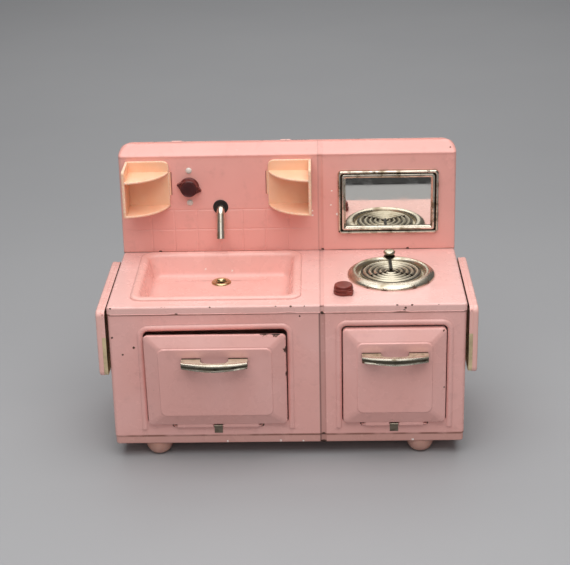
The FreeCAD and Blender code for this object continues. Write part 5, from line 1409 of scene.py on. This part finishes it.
@dataclass
class Mirror:
    """The pressed frame on the splashback with the plate that leans a little in it."""

    profile: Outline = (
        (0, 0.05), (0, 2.4), (0.7, 3.9), (2.0, 4.2), (3.0, 3.6), (3.4, 2.4), (3.9, 2.4), (4.3, 3.5),
        (6.3, 3.7), (7.4, 2.0), (7.9, 1.9), (8.0, 1.26), (5.1, 1.26), (5.1, 0.05))
    reach: Lengths = (0.1, 0.8, 0.8, 0.8, 0.5, 0.25, 0.25, 0.4, 0.5, 0.4, 0.3, 0.1, 0.1, 0.1)
    groove: Span = (2.4, 4.3)
    groove_floor: float = 1.5
    corner_insets: Span = (0, 8)
    corner_radii: Span = (4.0, 1.2)
    top_rust: Spots = ((-14, -4, -1, 4), (40, -4, -1, 3.4))
    left_rust: Spots = ((2, -3, 3, 4),)
    right_rust: Spots = ((-3, -3, 2, 4),)
    plate_corner: float = 0.6
    plate_thickness: float = 0.3
    plate_gap: float = 0.45
    lean: float = 0.85

    def build(self) -> None:
        """Make the frame and the plate."""
        low, high = cad_box("mirror_frame")
        centre = (low + high) / 2
        face = high[1]
        profile = soften(self.profile, self.reach, 5, closed=True)
        radii = np.interp(profile[:, 0], self.corner_insets, self.corner_radii)
        rings = framed((high[0] - low[0]) / 2, (high[2] - low[2]) / 2, profile, radii)
        shape = skin(rings, closed=True)
        away = (profile[:, 0] + np.roll(profile[:, 0], -1)) / 2
        groove = (away > self.groove[0]) & (away < self.groove[1]) & (profile[:, 1] > self.groove_floor)
        shape.tones = np.repeat(groove.astype(int), rings.shape[1])
        shape.stood((centre[0], face, centre[2]), Facing.FRONT)
        rust = moved(self.top_rust, (centre[0], face, high[2]))
        rust += moved(self.left_rust, (low[0], face, low[2]))
        rust += moved(self.right_rust, (high[0], face, low[2]))
        plating = Plate("nickel_plate", "#D6CCBC", "#8F826C", rust="#4A3626", roughness=0.14)
        # The groove between the beads is coloured dark nickel all round
        dark_plate = Plate("darkened_nickel", "#4E473C", "#2C2720", roughness=0.26)
        make_piece("mirror_surround", shape, "cabinet", ("mirror_frame",), "nickel_plate",
                   plating.dress("mirror_surround", rust), dark_plate.dress("mirror_groove"), smooth=50)
        self.plate(face)

    def plate(self, face: float) -> None:
        """Set the plate in the rebate, its upper edge leaning forward.

        Args:
            face: the splashback's face.
        """
        low, high = cad_box("mirror_plate")
        centre = (low + high) / 2
        half = (high - low) / 2
        outline = rounded_loop(half[0], half[2], self.plate_corner, 3)
        shape = slab(outline, self.plate_thickness, self.plate_thickness / 3, wear=0.0)
        shape.stood((centre[0], face - self.plate_gap, centre[2]), Facing.FRONT)
        depth = self.plate_gap + self.plate_thickness / 2
        shape.turned_about((centre[0], face - depth, centre[2]), self.lean, 0)
        make_piece("mirror_glass_plate", shape, "cabinet", ("mirror_plate",), "mirror_glass",
                   Silvering().dress("mirror_glass_plate", (low, high)), smooth=30)


@dataclass
class Stove:
    """The burner's ring and ridged plate, and the stepped knob beside it."""

    ring_profile: Outline = (
        (42.8, 0.05), (42.8, 1.6), (41.8, 2.9), (39.6, 4.4), (37.2, 5.5), (35.2, 5.5), (33.5, 4.4),
        (32.6, 2.4), (32.6, 0.05))
    ring_reach: Lengths = (0.1, 0.7, 1.0, 1.4, 1.4, 1.2, 1.2, 0.8, 0.1)
    ring_foot: float = 1.2
    ring_rust: Spots = ((20, -37, 1, 7), (-8, -42, 0, 7), (-24, -34, 1, 5), (34, -24, 1, 6), (-34, 4, 4, 5))
    lug: float = 37.7
    stem: Outline = ((0, 4.0), (5.8, 4.2), (5.6, 5.8), (3.6, 6.6), (3.4, 8.2), (0, 8.2))
    stem_round: float = 0.6
    button: Outline = ((0, 7.7), (5.2, 7.8), (6.1, 8.9), (5.9, 10.6), (4.0, 11.8), (0, 12.0))
    button_reach: Lengths = (0, 0.6, 1.2, 1.4, 1.6, 0)
    prong_width: float = 3.0
    prong_heights: Span = (5.2, 6.6)
    prong_start: float = 0.2
    prong_edge: float = 0.4
    bar_round: float = 0.5
    plate_radius: float = 32.2
    plate_top: float = 3.4
    flange: Span = (2.2, 1.0)
    ridge: float = 1.4
    pitch: float = 5.2
    ridge_count: int = 5
    ridge_share: float = 0.42
    valley_share: float = 0.7
    plate_seat: float = 0.05
    plate_step: float = 0.3
    wall_head: float = 0.2
    plate_rust: Spots = ((-24, -4, 3, 5), (-20, 14, 3, 4))
    spoke_width: float = 1.8
    spoke_start: float = 1.5
    spoke_sink: float = 0.9
    spoke_height: float = 2.4
    spoke_angles: Lengths = (0, 120, 240)
    knob_profile: Outline = (
        (0, 0.4), (9.6, 0.4), (9.6, 2.6), (8.4, 3.0), (8.4, 3.9), (9.3, 4.3), (9.3, 6.1), (8.2, 6.5),
        (8.2, 7.2), (8.8, 7.6), (8.7, 8.4), (7.8, 9.2), (0, 9.3))
    knob_reach: Lengths = (0, 0.3, 0.3, 0.2, 0.2, 0.3, 0.3, 0.2, 0.2, 0.2, 0.7, 0.7, 0)
    pointer: Outline = (
        (4.0, -5.2), (7.6, -4.8), (11.5, -0.8), (11.5, 0.8), (7.6, 4.8), (4.0, 5.2))
    pointer_reach: Lengths = (0.3, 1.4, 0.6, 0.6, 1.4, 0.3)
    pointer_height: float = 4.6
    pointer_edge: float = 0.6
    seat_gap: float = 0.4
    rim_heights: Lengths = (8.2, 9.0, 9.25)
    rim_wear: Lengths = (0, 0.8, 0.2)
    rim_from: float = 6.0
    rest_turn: float = -45.0

    def build(self) -> None:
        """Make the burner and the knob."""
        x, y, _ = middle_of("burner_plate")
        counter = cad_box("burner_plate")[0][2]
        self.ring((x, y, counter))
        self.plate((x, y, counter))
        knob_x, knob_y, _ = middle_of("stove_spindle")
        self.knob((knob_x, knob_y, counter))
        dress_nodes(STEEL.dress("stove_spindle"), "stove_spindle", "stove_clip")

    def ring(self, origin: Point) -> None:
        """Turn the raised ring, and stand the stem, the button and the prong at its rear.

        Args:
            origin: the burner's middle on the worktop.
        """
        profile = soften(self.ring_profile, self.ring_reach, 5, closed=True)
        worn = np.interp(profile[:, 1], (0, self.ring_foot), (1.0, 0))
        ring = skin(turned(profile, 120), worn, closed=True)
        # The stem under the button takes the dark finish as painted shade under the button, and the prong
        # takes it too
        stem = skin(turned(soften(self.stem, self.stem_round), 40), 1.0).stood((0, self.lug, 0)).toned(1)
        button = skin(turned(soften(self.button, self.button_reach), 40)).stood((0, self.lug, 0))
        half = self.prong_width / 2
        corners = oblong(-half, half, self.prong_start, self.lug)
        outline = soften(corners, self.bar_round, 4, closed=True)
        low, high = self.prong_heights
        prong = slab(outline, high - low, self.prong_edge).stood((0, 0, low)).toned(1)
        shape = gather(ring, button, stem, prong).stood(origin)
        plating = Plate("nickel_plate", "#D3C9B6", "#A0927A", roughness=0.27, tarnish_size=16)
        dark_finish = Plate("darkened_steel", "#2A2622", "#171412", roughness=0.4)
        make_piece("burner_rim", shape, "cabinet", ("burner_ring",), "nickel_plate",
                   plating.dress("burner_rim", moved(self.ring_rust, origin)), dark_finish.dress("burner_prong"),
                   smooth=50)

    def plate(self, origin: Point) -> None:
        """Turn the plate with its ridges, and lay three spokes on it.

        The face is t + h cos^2(pi a / 2) high, where a is the way from the nearest ridge over its half width.

        Args:
            origin: the burner's middle on the worktop.
        """
        reach = self.plate_radius - self.flange[0]
        radius = np.linspace(0, reach - self.plate_step, 190)[::-1]
        order = np.clip(np.round(radius / self.pitch), 1, self.ridge_count)
        away = np.clip(np.abs(radius / self.pitch - order) / self.ridge_share, 0, 1)
        face = np.column_stack([radius, self.plate_top + self.ridge * np.cos(QUARTER * away) ** 2])
        edge = soften([(0, self.plate_seat), (self.plate_radius, self.plate_seat),
                       (self.plate_radius, self.flange[1]), (reach, self.flange[1]),
                       (reach, self.plate_top - self.wall_head), face[0]], self.plate_step, 4)[:-1]
        steps = 120
        shape = skin(turned(np.concatenate([edge, face]), steps))
        # The valleys between the ridges are painted dark, and the plating shines on their crests
        valley = np.concatenate([np.zeros(len(edge)), away > self.valley_share])[:-1]
        shape.tones = np.repeat(valley.astype(int), steps)
        half = self.spoke_width / 2
        corners = oblong(-half, half, self.spoke_start, self.pitch * self.ridge_count)
        outline = soften(corners, self.bar_round, 4, closed=True)
        foot = (0, 0, self.plate_top - self.spoke_sink)
        spokes = [slab(outline, self.spoke_height, self.bar_round).stood(foot).toned(1)
                  .turned_about((0, 0, 0), angle, 2) for angle in self.spoke_angles]
        shape = gather(shape, *spokes).stood(origin)
        plating = Plate("nickel_plate", "#CDC4AF", "#A89C84", roughness=0.46, dulling=0.1, tarnish_size=12)
        dark_finish = Plate("darkened_steel", "#4A4238", "#26211C", roughness=0.42)
        make_piece("burner_disc", shape, "cabinet", ("burner_plate",), "nickel_plate",
                   plating.dress("burner_disc", moved(self.plate_rust, origin)), dark_finish.dress("burner_spoke"),
                   smooth=50)

    def knob(self, origin: Point) -> None:
        """Turn the stepped knob and stand its pointer beside it.

        Args:
            origin: the middle of its seat on the worktop.
        """
        profile = soften(self.knob_profile, self.knob_reach, 5)
        worn = np.interp(profile[:, 1], self.rim_heights, self.rim_wear) * (profile[:, 0] > self.rim_from)
        wedge = soften(self.pointer, self.pointer_reach, 4, closed=True)
        pointer = slab(wedge, self.pointer_height, self.pointer_edge, wear=0.6).stood((0, 0, self.seat_gap))
        shape = gather(skin(turned(profile), worn), pointer)
        shape.turned_about((0, 0, 0), self.rest_turn, 2).stood(origin)
        brick = Plastic("moulded_phenolic", "#74291F", "#7E3026", "#9A4C3E", roughness=0.36, flow_size=6)
        make_piece("stove_dial", shape, "stove_knob", ("stove_knob",), "knob_plastic",
                   brick.dress("stove_dial"))


@dataclass
class Door:
    """A pressed door pan with its rolled hinge, its bowed handle and the wire that it hangs on."""

    name: str
    half: float
    span: float
    ajar: float
    chips: Spots
    handle_rust: Spots
    top_drop: float
    wall_drop: float
    side_wear: Lengths
    sill: float = 2.4
    top: float = 101.9
    profile: Outline = (
        (16.4, 7.9), (13.6, 7.9), (13.1, 6.75), (12.2, 6.6), (0, 1.75), (0, -7.2))
    reach: Lengths = (0, 0.9, 0.6, 1.0, 1.5, 0)
    inner_profile: Outline = (
        (0.5, -7.2), (0.5, 1.25), (12.6, 6.1), (13.6, 6.3), (14.1, 7.4), (16.4, 7.4))
    inner_reach: Lengths = (0, 1.0, 0.7, 0.4, 0.6, 0)
    corner_insets: Lengths = (0, 12.4, 13.2, 16.4)
    corner_radii: Lengths = (4.0, 4.0, 6.0, 6.0)
    slope: float = 13.0
    edge_wear: Span = (0.3, 0.8)
    edge_back: float = -2.0
    crest_wear: Span = (14.0, 0.5)
    crest_gain: float = 0.35
    roll_radius: float = 1.7
    roll_turn: Span = (math.pi, 2 * math.pi + 0.9)
    roll_lip: float = 6.0
    wire_radius: float = 0.8
    wire_bend: float = 2.0
    wire_tail: float = 7.7
    clip_half: float = 4.0
    clip_gap: float = 1.0
    clip_rust: Spots = ((1, 0, 1.5, 3.0), (2.6, 1, -2.0, 2.0))
    handle_rise: float = 75.5
    handle_half: float = 31.25
    handle_seat: float = 7.9
    hollow_half: float = 13.1
    handle_reach: float = 15.0
    handle_depth: float = 4.25
    handle_height: float = 7.8
    handle_taper: float = 1.7
    bow: float = 0.3
    nudge: float = 0.05
    bar_places: Lengths = (0, 0.9, 0.97)
    bar_wear: Lengths = (0.15, 0.2, 0.9)
    hollow_places: Lengths = (0, 0.5, 0.85, 1)
    hollow_shares: Lengths = (1, 0.97, 0.88, 0.6)
    bar_insets: Lengths = (3.0, 1.6, 0.6, 0.1, 0, 0.5, 0.7, 0.2, 0.5, 2.0)
    bar_shares: Lengths = (1, 0.97, 0.84, 0.6, 0.4, 0.1, -0.5, -0.85, -1, -1)
    # The faces painted dark as shade and shadow: the strip along the door, the trough and the back
    trough: tuple[int, ...] = (0, 6, 7, 12)
    # The top face, painted pale as a highlight on a rougher nickel
    rubbed: int = 1
    shadow: float = 2.2

    def build(self) -> None:
        """Make the pan, the handle and the hinge wire."""
        low, high = cad_box(self.name + "_hinge_wire")
        self.axis = np.array([(low[0] + high[0]) / 2, low[1] + self.wire_radius, (low[2] + high[2]) / 2])
        self.pan()
        self.handle()
        self.wire()
        tin = Plate("plated_clip", "#877D6E", "#5A5044", rust="#1E1510", roughness=0.34)
        clip = self.name + "_hinge_clip"
        dress_nodes(tin.dress(clip, moved(self.clip_rust, self.axis)), clip)

    def hung(self, shape: Surface) -> Surface:
        """Hang a shape that is drawn about the hinge axis, opened by the door's angle."""
        return shape.stood(self.axis).turned_about(self.axis, self.ajar, 0)

    def marks(self, marks: Spots) -> Spots:
        """Move marks that are given from the hinge axis of the shut door to where the door hangs."""
        turn = np.array(Matrix.Rotation(math.radians(self.ajar), 3, "X"))
        return moved(tuple((*(turn @ np.array(mark[:3])), mark[3]) for mark in marks), self.axis)

    def pan(self) -> None:
        """Press the pan: rounded rectangles drawn in from the rim up the slope and over the raised panel.

        The inside follows one sheet's thickness behind, and the lower edge is rolled round the hinge wire.
        The rim's upper edge is bent down by d (1 - i / s) u at an inset i of the slope s and a share u of the
        height, and its wall falls a further w u towards its back edge.
        """
        outer = soften(self.profile, self.reach, 7)
        inner = soften(self.inner_profile, self.inner_reach, 5)
        profile = np.concatenate([outer, inner])
        radii = np.interp(profile[:, 0], self.corner_insets, self.corner_radii)
        half_up = (self.top - self.sill) / 2
        rings = framed(self.half, half_up, profile, radii)
        near = np.clip(1 - profile[:, 0] / self.slope, 0, 1)[:, None]
        front, back = self.profile[-2][1], self.profile[-1][1]
        behind = np.clip((front - profile[:, 1]) / (front - back), 0, 1)[:, None]
        fall = self.top_drop * near + self.wall_drop * behind
        rings[..., 1] -= fall * np.clip(rings[..., 1] / half_up, 0, 1)
        edge, crest = (np.exp(-np.abs(profile[:, 0] - middle) / fade)
                       for middle, fade in (self.edge_wear, self.crest_wear))
        edge = edge * (profile[:, 1] > self.edge_back)
        pan = skin(rings, np.maximum(edge, self.crest_gain * crest), inside_from=len(outer))
        pan.wear *= np.interp(pan.points[:, 0], (-self.half, 0, self.half), self.side_wear)
        pan.stood((0, 0, (self.sill + self.top) / 2), Facing.FRONT)
        shape = self.hung(gather(pan, *self.rolls()))
        make_piece(self.name + "_pan", shape, self.name, (self.name,), "pink_enamel",
                   Enamel(spot_gain=0.3).dress(self.name, spots=self.marks(self.chips)),
                   BARE_TIN.dress(self.name + "_inside"))

    def rolls(self) -> list[Surface]:
        """Roll the lower edge round the wire, in two lengths beside the clip.

        The roll's section comes straight down the door's face and goes about two thirds round the wire.

        Returns:
            The two rolls.
        """
        turn = np.linspace(*self.roll_turn, 26)
        rolled = [np.column_stack([radius * np.cos(turn), radius * np.sin(turn)])
                  for radius in (self.roll_radius, self.roll_radius - SHEET)]
        lip = self.roll_lip
        section = np.concatenate(
            [[(-self.roll_radius, lip)], rolled[0], rolled[1][::-1], [(SHEET - self.roll_radius, lip)]])
        stop = self.span / 2 - self.wire_bend - 1.5 * self.wire_radius
        ends = np.array([self.clip_half + self.clip_gap, stop])
        return [strip(section, ends, 0.5), strip(section, -ends[::-1], 0.5)]

    def handle(self) -> None:
        """Carry the bar's section across the door.

        At a share t of the half length the bar's front stands out by R (1 - b t^2). Behind its middle is a
        hollow that ends square, and beyond it the feet reach back to the panel. The lower edge rises towards
        the ends. The section has a rounded upper edge, a shallow dark trough below it and a thin lower lip.
        """
        past = self.hollow_half + self.nudge
        ends = np.array([-past, -self.hollow_half, self.hollow_half, past])
        place = np.unique(np.concatenate([np.linspace(-1, 1, 81) * self.handle_half, ends]))
        share = np.abs(place) / self.handle_half
        front = self.handle_reach * (1 - self.bow * share ** 2)
        deep = self.handle_reach - self.handle_depth
        hollow = deep * np.interp(np.abs(place) / self.hollow_half, self.hollow_places, self.hollow_shares)
        hollow = np.where(np.abs(place) > self.hollow_half + self.nudge / 2, 0.0, hollow)
        half = self.handle_height / 2
        low = -half + self.handle_taper * share
        shadow = hollow + np.where(hollow > 0, 0, self.shadow)
        outs = np.column_stack([hollow, shadow, front[:, None] - np.array(self.bar_insets), hollow])
        shares = np.array([1, 1, *self.bar_shares, -1])
        rise = (half + low)[:, None] / 2 + (half - low)[:, None] / 2 * shares
        rings = np.stack([place[:, None] + 0 * outs, -self.handle_seat - outs, rise], -1)
        worn = np.interp(share, self.bar_places, self.bar_wear)
        bar = skin(rings, worn)
        # The top is painted pale as a highlight and given a rougher nickel; the trough below it, the strip
        # along the door and the ends are painted dark as shade and shadow
        tones = np.zeros(len(shares), int)
        tones[list(self.trough)] = 1
        tones[self.rubbed] = 2
        bar.tones = np.tile(tones, len(place) - 1)
        bar.cap_tones = [1, 1]
        shape = self.hung(bar.stood((0, 0, self.handle_rise)))
        dark_plate = Plate("darkened_nickel", "#5E584A", "#3A352B", roughness=0.3, tarnish_size=7)
        dull = Plate("highlit_nickel", "#E6DEC8", "#B8AC90", roughness=0.5, dulling=0.1, tarnish_size=7)
        plating = Plate("nickel_plate", "#D9D0BE", "#9C8F78", roughness=0.2, tarnish_size=10, pit_level=0.7)
        make_piece(self.name + "_pull", shape, self.name, (self.name + "_handle",), "nickel_plate",
                   plating.dress(self.name + "_pull", self.marks(self.handle_rust)),
                   dark_plate.dress(self.name + "_pull_trough"), dull.dress(self.name + "_pull_top"), smooth=28)

    def wire(self) -> None:
        """Carry the wire's round section along its run, whose two ends turn back through the shell."""
        reach = self.span / 2
        corners = [(-reach, self.wire_tail, 0), (-reach, 0, 0), (reach, 0, 0), (reach, self.wire_tail, 0)]
        path = soften(corners, [0, self.wire_bend, self.wire_bend, 0], 10)
        shape = skin(carried(path, circle(self.wire_radius, 16), (0, 0, 1)), 0.4).stood(self.axis)
        # The wire's lower half takes extra wear, so that its dark chips paint a shadow line along its
        # underside
        shape.wear += np.clip((self.axis[2] - shape.points[:, 2]) / self.wire_radius, 0, 1)
        paint = Enamel(paint="#E0A69C", edge_gain=0.25, chip_level=0.72)
        make_piece(self.name + "_wire", shape, "cabinet", (self.name + "_hinge_wire",), "steel_wire",
                   paint.dress(self.name + "_wire"))


@dataclass
class Leaf:
    """A drop leaf: a shallow pan on a wire, held by two brackets on the cabinet's side."""

    side: Side
    corner: float = 6.0
    least_corner: float = 1.0
    face_inset: float = 10.0
    bend: float = 2.2
    inner_bend: float = 1.5
    edge_wear: float = 0.2
    edge_fade: float = 1.2
    rod_dome: float = 0.3
    hem: float = 3.6
    hem_step: float = 0.35
    hem_top: float = 7.0

    def build(self) -> None:
        """Make the leaf and dress its wire and brackets.

        The pan is a stack of rounded rectangles, from the middle of its face over the bend and along the wall
        to a hem whose lower part is bare tin, and back along the inside.
        """
        name = "%s_leaf" % self.side.name.lower()
        low, high = cad_box(name)
        centre = (low + high) / 2
        facing = Facing.RIGHT if self.side is Side.RIGHT else Facing.LEFT
        deep = (high[0] - low[0]) / 2
        flat = self.face_inset
        outer = soften([(flat, deep), (0, deep), (0, self.hem - deep)], (0, self.bend, 0), 8)
        hem = np.array([(self.hem_step, self.hem - deep - self.hem_step), (self.hem_step, -deep)])
        inside = self.hem_step + SHEET
        back = deep - SHEET
        inner = soften([(inside, -deep), (inside, back), (flat, back)], (0, self.inner_bend, 0), 5)
        profile = np.concatenate([outer, hem, inner])
        radii = np.maximum(self.corner - profile[:, 0], self.least_corner)
        rings = self.split(framed((high[1] - low[1]) / 2, (high[2] - low[2]) / 2, profile, radii))
        away = profile[:, 0] + np.abs(profile[:, 1] - deep)
        worn = self.edge_wear * np.exp(-away / self.edge_fade)
        shape = skin(rings, worn, inside_from=len(outer) + len(hem))
        middle = (rings[..., 1] + np.roll(rings[..., 1], -1, 1)) / 2
        lower = middle[len(outer) - 1:len(outer) + len(hem)] < self.hem_top
        shape.tones[(len(outer) - 1) * lower.shape[1]:][:lower.size] = lower.ravel()
        shape.stood(centre, facing)
        pale = Tinplate("lacquered_tinplate", tin="#E6D2A8", crystal="#DAC49A", metallic=0.1)
        paint = Enamel(paint="#F4BEB4", faded="#F0B7AC")
        make_piece(name + "_pan", shape, name, (name,), "pink_enamel", paint.dress(name),
                   pale.dress(name + "_inside"))
        self.wire(name)
        dress_nodes(STEEL.dress(name + "_brackets"), name + "_brackets")

    def split(self, rings: Array) -> Array:
        """Add a point where the sides of each ring pass the height at which the bare hem ends.

        Args:
            rings: the leaf's rounded rectangles.

        Returns:
            The same rings with two more points each.
        """
        after = np.roll(rings, -1, 1)
        passing = (rings[0, :, 1] - self.hem_top) * (after[0, :, 1] - self.hem_top) < 0
        for place in np.flatnonzero(passing)[::-1]:
            start, end = rings[:, place], after[:, place]
            share = (self.hem_top - start[:, 1]) / (end[:, 1] - start[:, 1])
            rings = np.insert(rings, place + 1, start + share[:, None] * (end - start), 1)
        return rings

    def wire(self, name: str) -> None:
        """Run the hinge wire through the leaf, with domed ends just proud of it.

        Args:
            name: the leaf's name.
        """
        low, high = cad_box(name + "_wire")
        radius = (high[0] - low[0]) / 2
        length = high[1] - low[1]
        angle = np.linspace(0, QUARTER, 5)
        end = np.column_stack([radius * np.sin(angle), -self.rod_dome * np.cos(angle)])
        other = np.column_stack([radius * np.cos(angle), length + self.rod_dome * np.sin(angle)])
        shape = skin(turned(np.concatenate([end, other]), 16))
        shape.points = shape.points[:, [0, 2, 1]] * (1, 1, -1)
        shape.stood(((low[0] + high[0]) / 2, low[1], (low[2] + high[2]) / 2))
        make_piece(name + "_hinge_rod", shape, "cabinet", (name + "_wire",), "steel_wire",
                   PINK.dress(name + "_hinge_rod"))


@dataclass
class Tank:
    """The open water tank on the back, hung from the back sheet's upper edge by two hooks."""

    gap: float = 1.0
    rim_drop: float = 15.0
    corner: float = 3.0
    least_corner: float = 0.4
    least_half: float = 0.6
    floor_inset: float = 14.0
    bend: float = 2.2
    inner_bend: float = 1.7
    hem: float = 4.0
    hem_round: float = 0.2
    rim_wear: float = 0.3
    rim_fade: float = 0.8
    hook_width: float = 10.0
    hook_spread: float = 55.0
    hook_tip: float = 1.2
    hook_bend: float = 0.5
    hook_slack: float = 0.01

    def build(self) -> None:
        """Make the tank and dress its outlet."""
        low, high = cad_box("water_tank")
        panel = cad_box("rear_panel")
        seat = panel[1][1] + self.gap
        top = panel[1][2] - self.rim_drop
        bottom = low[2]
        deep = high[1] - seat
        hem = top - self.hem
        floor = bottom + SHEET
        flat = self.floor_inset
        outer = soften([(flat, bottom), (0, bottom), (0, top)], (0, self.bend, 0), 7)
        corners = [(0, top), (SHEET, top), (2 * SHEET, top), (2 * SHEET, hem), (SHEET, hem)]
        roll = soften(corners, self.hem_round, 4)
        inner = soften([(SHEET, hem), (SHEET, floor), (flat, floor)], (0, self.inner_bend, 0), 5)
        profile = np.concatenate([outer, roll[1:], inner[1:]])
        profile[:, 0] = np.minimum(profile[:, 0], deep / 2 - self.least_half)
        radii = np.maximum(self.corner - profile[:, 0], self.least_corner)
        rings = framed((high[0] - low[0]) / 2, deep / 2, profile, radii)
        worn = np.exp(-np.abs(profile[:, 1] - top) / self.rim_fade) * self.rim_wear
        middle = (low[0] + high[0]) / 2
        box = skin(rings, worn, inside_from=len(outer) + len(roll) - 1).stood((middle, seat + deep / 2, 0))
        hooks = [self.hook(panel, seat, top).stood((middle + shift, 0, 0))
                 for shift in (-self.hook_spread, self.hook_spread)]
        make_piece("tank_box", gather(box, *hooks), "cabinet", ("water_tank",), "back_paint",
                   replace(SATIN, edge_gain=0.2).dress("tank_box"), BARE_TIN.dress("tank_inside"))
        dress_nodes(BRASS.dress("tank_nipple"), "tank_nipple")
        dress_nodes(RUBBER.dress("feed_gasket"), "feed_gasket")

    def hook(self, panel: Box, seat: float, top: float) -> Surface:
        """Bend one hook: a strip up the tank's front, over the back sheet and a little way down.

        Args:
            panel: the back sheet's corners.
            seat: the tank's front face.
            top: the tank's upper edge.

        Returns:
            The strip, about X zero.
        """
        near, far = panel[0][1] - SHEET / 2, seat + SHEET / 2
        crest = panel[1][2] + SHEET / 2
        corners = [(far, top - self.hook_width), (far, crest), (near, crest), (near, crest - self.hook_tip)]
        line = soften(corners, self.hook_bend, 5)
        run = np.gradient(line, axis=0)
        run /= np.linalg.norm(run, axis=1, keepdims=True)
        side = np.column_stack([-run[:, 1], run[:, 0]]) * (SHEET / 2 - self.hook_slack)
        section = np.concatenate([line + side, (line - side)[::-1]])
        return strip(section, (-self.hook_width / 2, self.hook_width / 2), 0.6)


@dataclass
class Studio:
    """A pale floor, a dark card that the mirror sees, three soft lamps and the picture's camera."""

    place: Point = (34.9, -1382.5, 709.2)
    yaw: float = -1.56
    pitch: float = 21.94
    roll: float = -1.313
    lens: float = 95.29
    sensor: float = 36.0
    far_clip: float = 50.0
    mottle_size: float = 300.0
    floor_half: float = 6000.0
    card_half: float = 340.0
    card_reach: Span = (-690.0, -566.0)
    card_height: float = 2.0
    top_light: Lengths = (-450.0, 1100.0, 0.0, 1300.0, 13.2)
    front_light: Lengths = (-1700.0, 1100.0, 62.0, 1400.0, 6.9)
    back_light: Lengths = (1500.0, 1600.0, 0.0, 2000.0, 20.0)
    room_light: float = 0.25

    def build(self) -> None:
        """Make the floor, the card, the lamps, the world and the camera."""
        half = self.floor_half
        self.sheet("studio_floor", (-half, half), (-half, half), 0.0, ("#A9A9AA", "#A3A3A5"))
        self.sheet("dark_card", (-self.card_half, self.card_half), self.card_reach, self.card_height,
                   ("#0E0D0C", "#131211"))
        self.lamp("top_light", *self.top_light)
        self.lamp("front_light", *self.front_light)
        self.lamp("back_light", *self.back_light)
        world = bpy.data.worlds.new("soft_room")
        bpy.context.scene.world = world
        world.use_nodes = True
        sky = world.node_tree.nodes["Background"]
        sky.inputs[0].default_value = linear("#BFC0C2")
        sky.inputs[1].default_value = self.room_light
        bpy.context.scene.view_settings.view_transform = "Standard"
        self.camera()

    def sheet(self, name: str, across: Span, deep: Span, height: float, colours: tuple[str, str]) -> None:
        """Lay a sheet of matt card with a faint mottle.

        Args:
            name: its name.
            across: its least and greatest X in millimetres.
            deep: its least and greatest Y.
            height: how high it lies.
            colours: the two colours of the mottle.
        """
        corners = [(x * MM, y * MM, height * MM) for x, y in oblong(*across, *deep)]
        mesh = bpy.data.meshes.new(name)
        mesh.from_pydata(corners, [], [(0, 1, 2, 3)])
        material, tree, place, shader = blank("matt_card_" + name)
        mottle = add(tree, Kind.NOISE, place, scale_of(self.mottle_size), 3, 0.55)
        tree.links.new(add(tree, Kind.BLEND, mottle, *colours), shader.inputs["Base Color"])
        shader.inputs["Roughness"].default_value = 0.7
        mesh.materials.append(material)
        sheet = show(name, mesh)

    def lamp(self, name: str, deep: float, height: float, tilt: float, size: float, power: float) -> None:
        """Hang a square soft lamp that shines down, tilted towards the rear.

        Args:
            name: its name.
            deep: its Y in millimetres.
            height: how high it hangs.
            tilt: the angle in degrees by which it is turned up.
            size: the length of its sides.
            power: its power in watts.
        """
        light = bpy.data.lights.new(name, "AREA")
        light.shape = "SQUARE"
        light.size = size * MM
        light.energy = power
        turn = Matrix.Rotation(math.radians(tilt), 4, "X")
        show(name, light).matrix_world = Matrix.Translation((0, deep * MM, height * MM)) @ turn

    def camera(self) -> None:
        """Set the camera where the picture was taken from: yaw, then pitch down, then roll."""
        yaw, pitch, roll = (math.radians(angle) for angle in (self.yaw, self.pitch, self.roll))
        ahead = np.array([math.sin(yaw) * math.cos(pitch), math.cos(yaw) * math.cos(pitch), -math.sin(pitch)])
        right = np.array([math.cos(yaw), -math.sin(yaw), 0])
        up = np.cross(right, ahead)
        across = math.cos(roll) * right + math.sin(roll) * up
        upward = -math.sin(roll) * right + math.cos(roll) * up
        data = bpy.data.cameras.new("studio_camera")
        data.sensor_fit = "HORIZONTAL"
        data.sensor_width = self.sensor
        data.lens = self.lens
        data.clip_end = self.far_clip
        camera = show("studio_camera", data)
        columns = np.column_stack([across, upward, -ahead, np.array(self.place) * MM])
        camera.matrix_world = Matrix([*columns.tolist(), [0, 0, 0, 1]])
        bpy.context.scene.camera = camera


def main() -> None:
    """Build every part of the kitchen and the studio."""
    logging.basicConfig(level=logging.INFO)
    sink_door = Door("sink_door", half=67.25, span=85.0, ajar=4.5,
                     chips=((-59.7, -4, 43.0, 2.6), (56.7, -5, 26.3, 2.8), (-58.7, -4, 2.1, 2.8),
                            (36, 3.0, 100.0, 5.0), (47, 2.0, 100.2, 9.0), (58, 0.5, 100.6, 7.0),
                            (66.8, -1.2, 84, 5.0), (66.8, -1.2, 58, 4.0)),
                     handle_rust=((30, -20, 73, 4), (26, -21, 73, 3)), top_drop=1.0, wall_drop=4.0,
                     side_wear=(0.35, 0.5, 1.5))
    oven_door = Door("oven_door", half=49.05, span=62.0, ajar=0.0,
                     chips=((46, -2, 99, 2.2), (47, -2, 40, 2.2)),
                     handle_rust=((-30, -18, 74, 2.6),), top_drop=1.0, wall_drop=0.0,
                     side_wear=(0.5, 0.4, 0.6))
    pieces = (Studio(), Cabinet(), Worktop(), Splashback(), Tap(), Shelf(Side.LEFT), Shelf(Side.RIGHT),
              Mirror(), Stove(), sink_door, oven_door, Leaf(Side.LEFT), Leaf(Side.RIGHT), Tank())
    for piece in pieces:
        piece.build()
        log.info("built %s", type(piece).__name__)


if __name__ == "__main__":
    main()
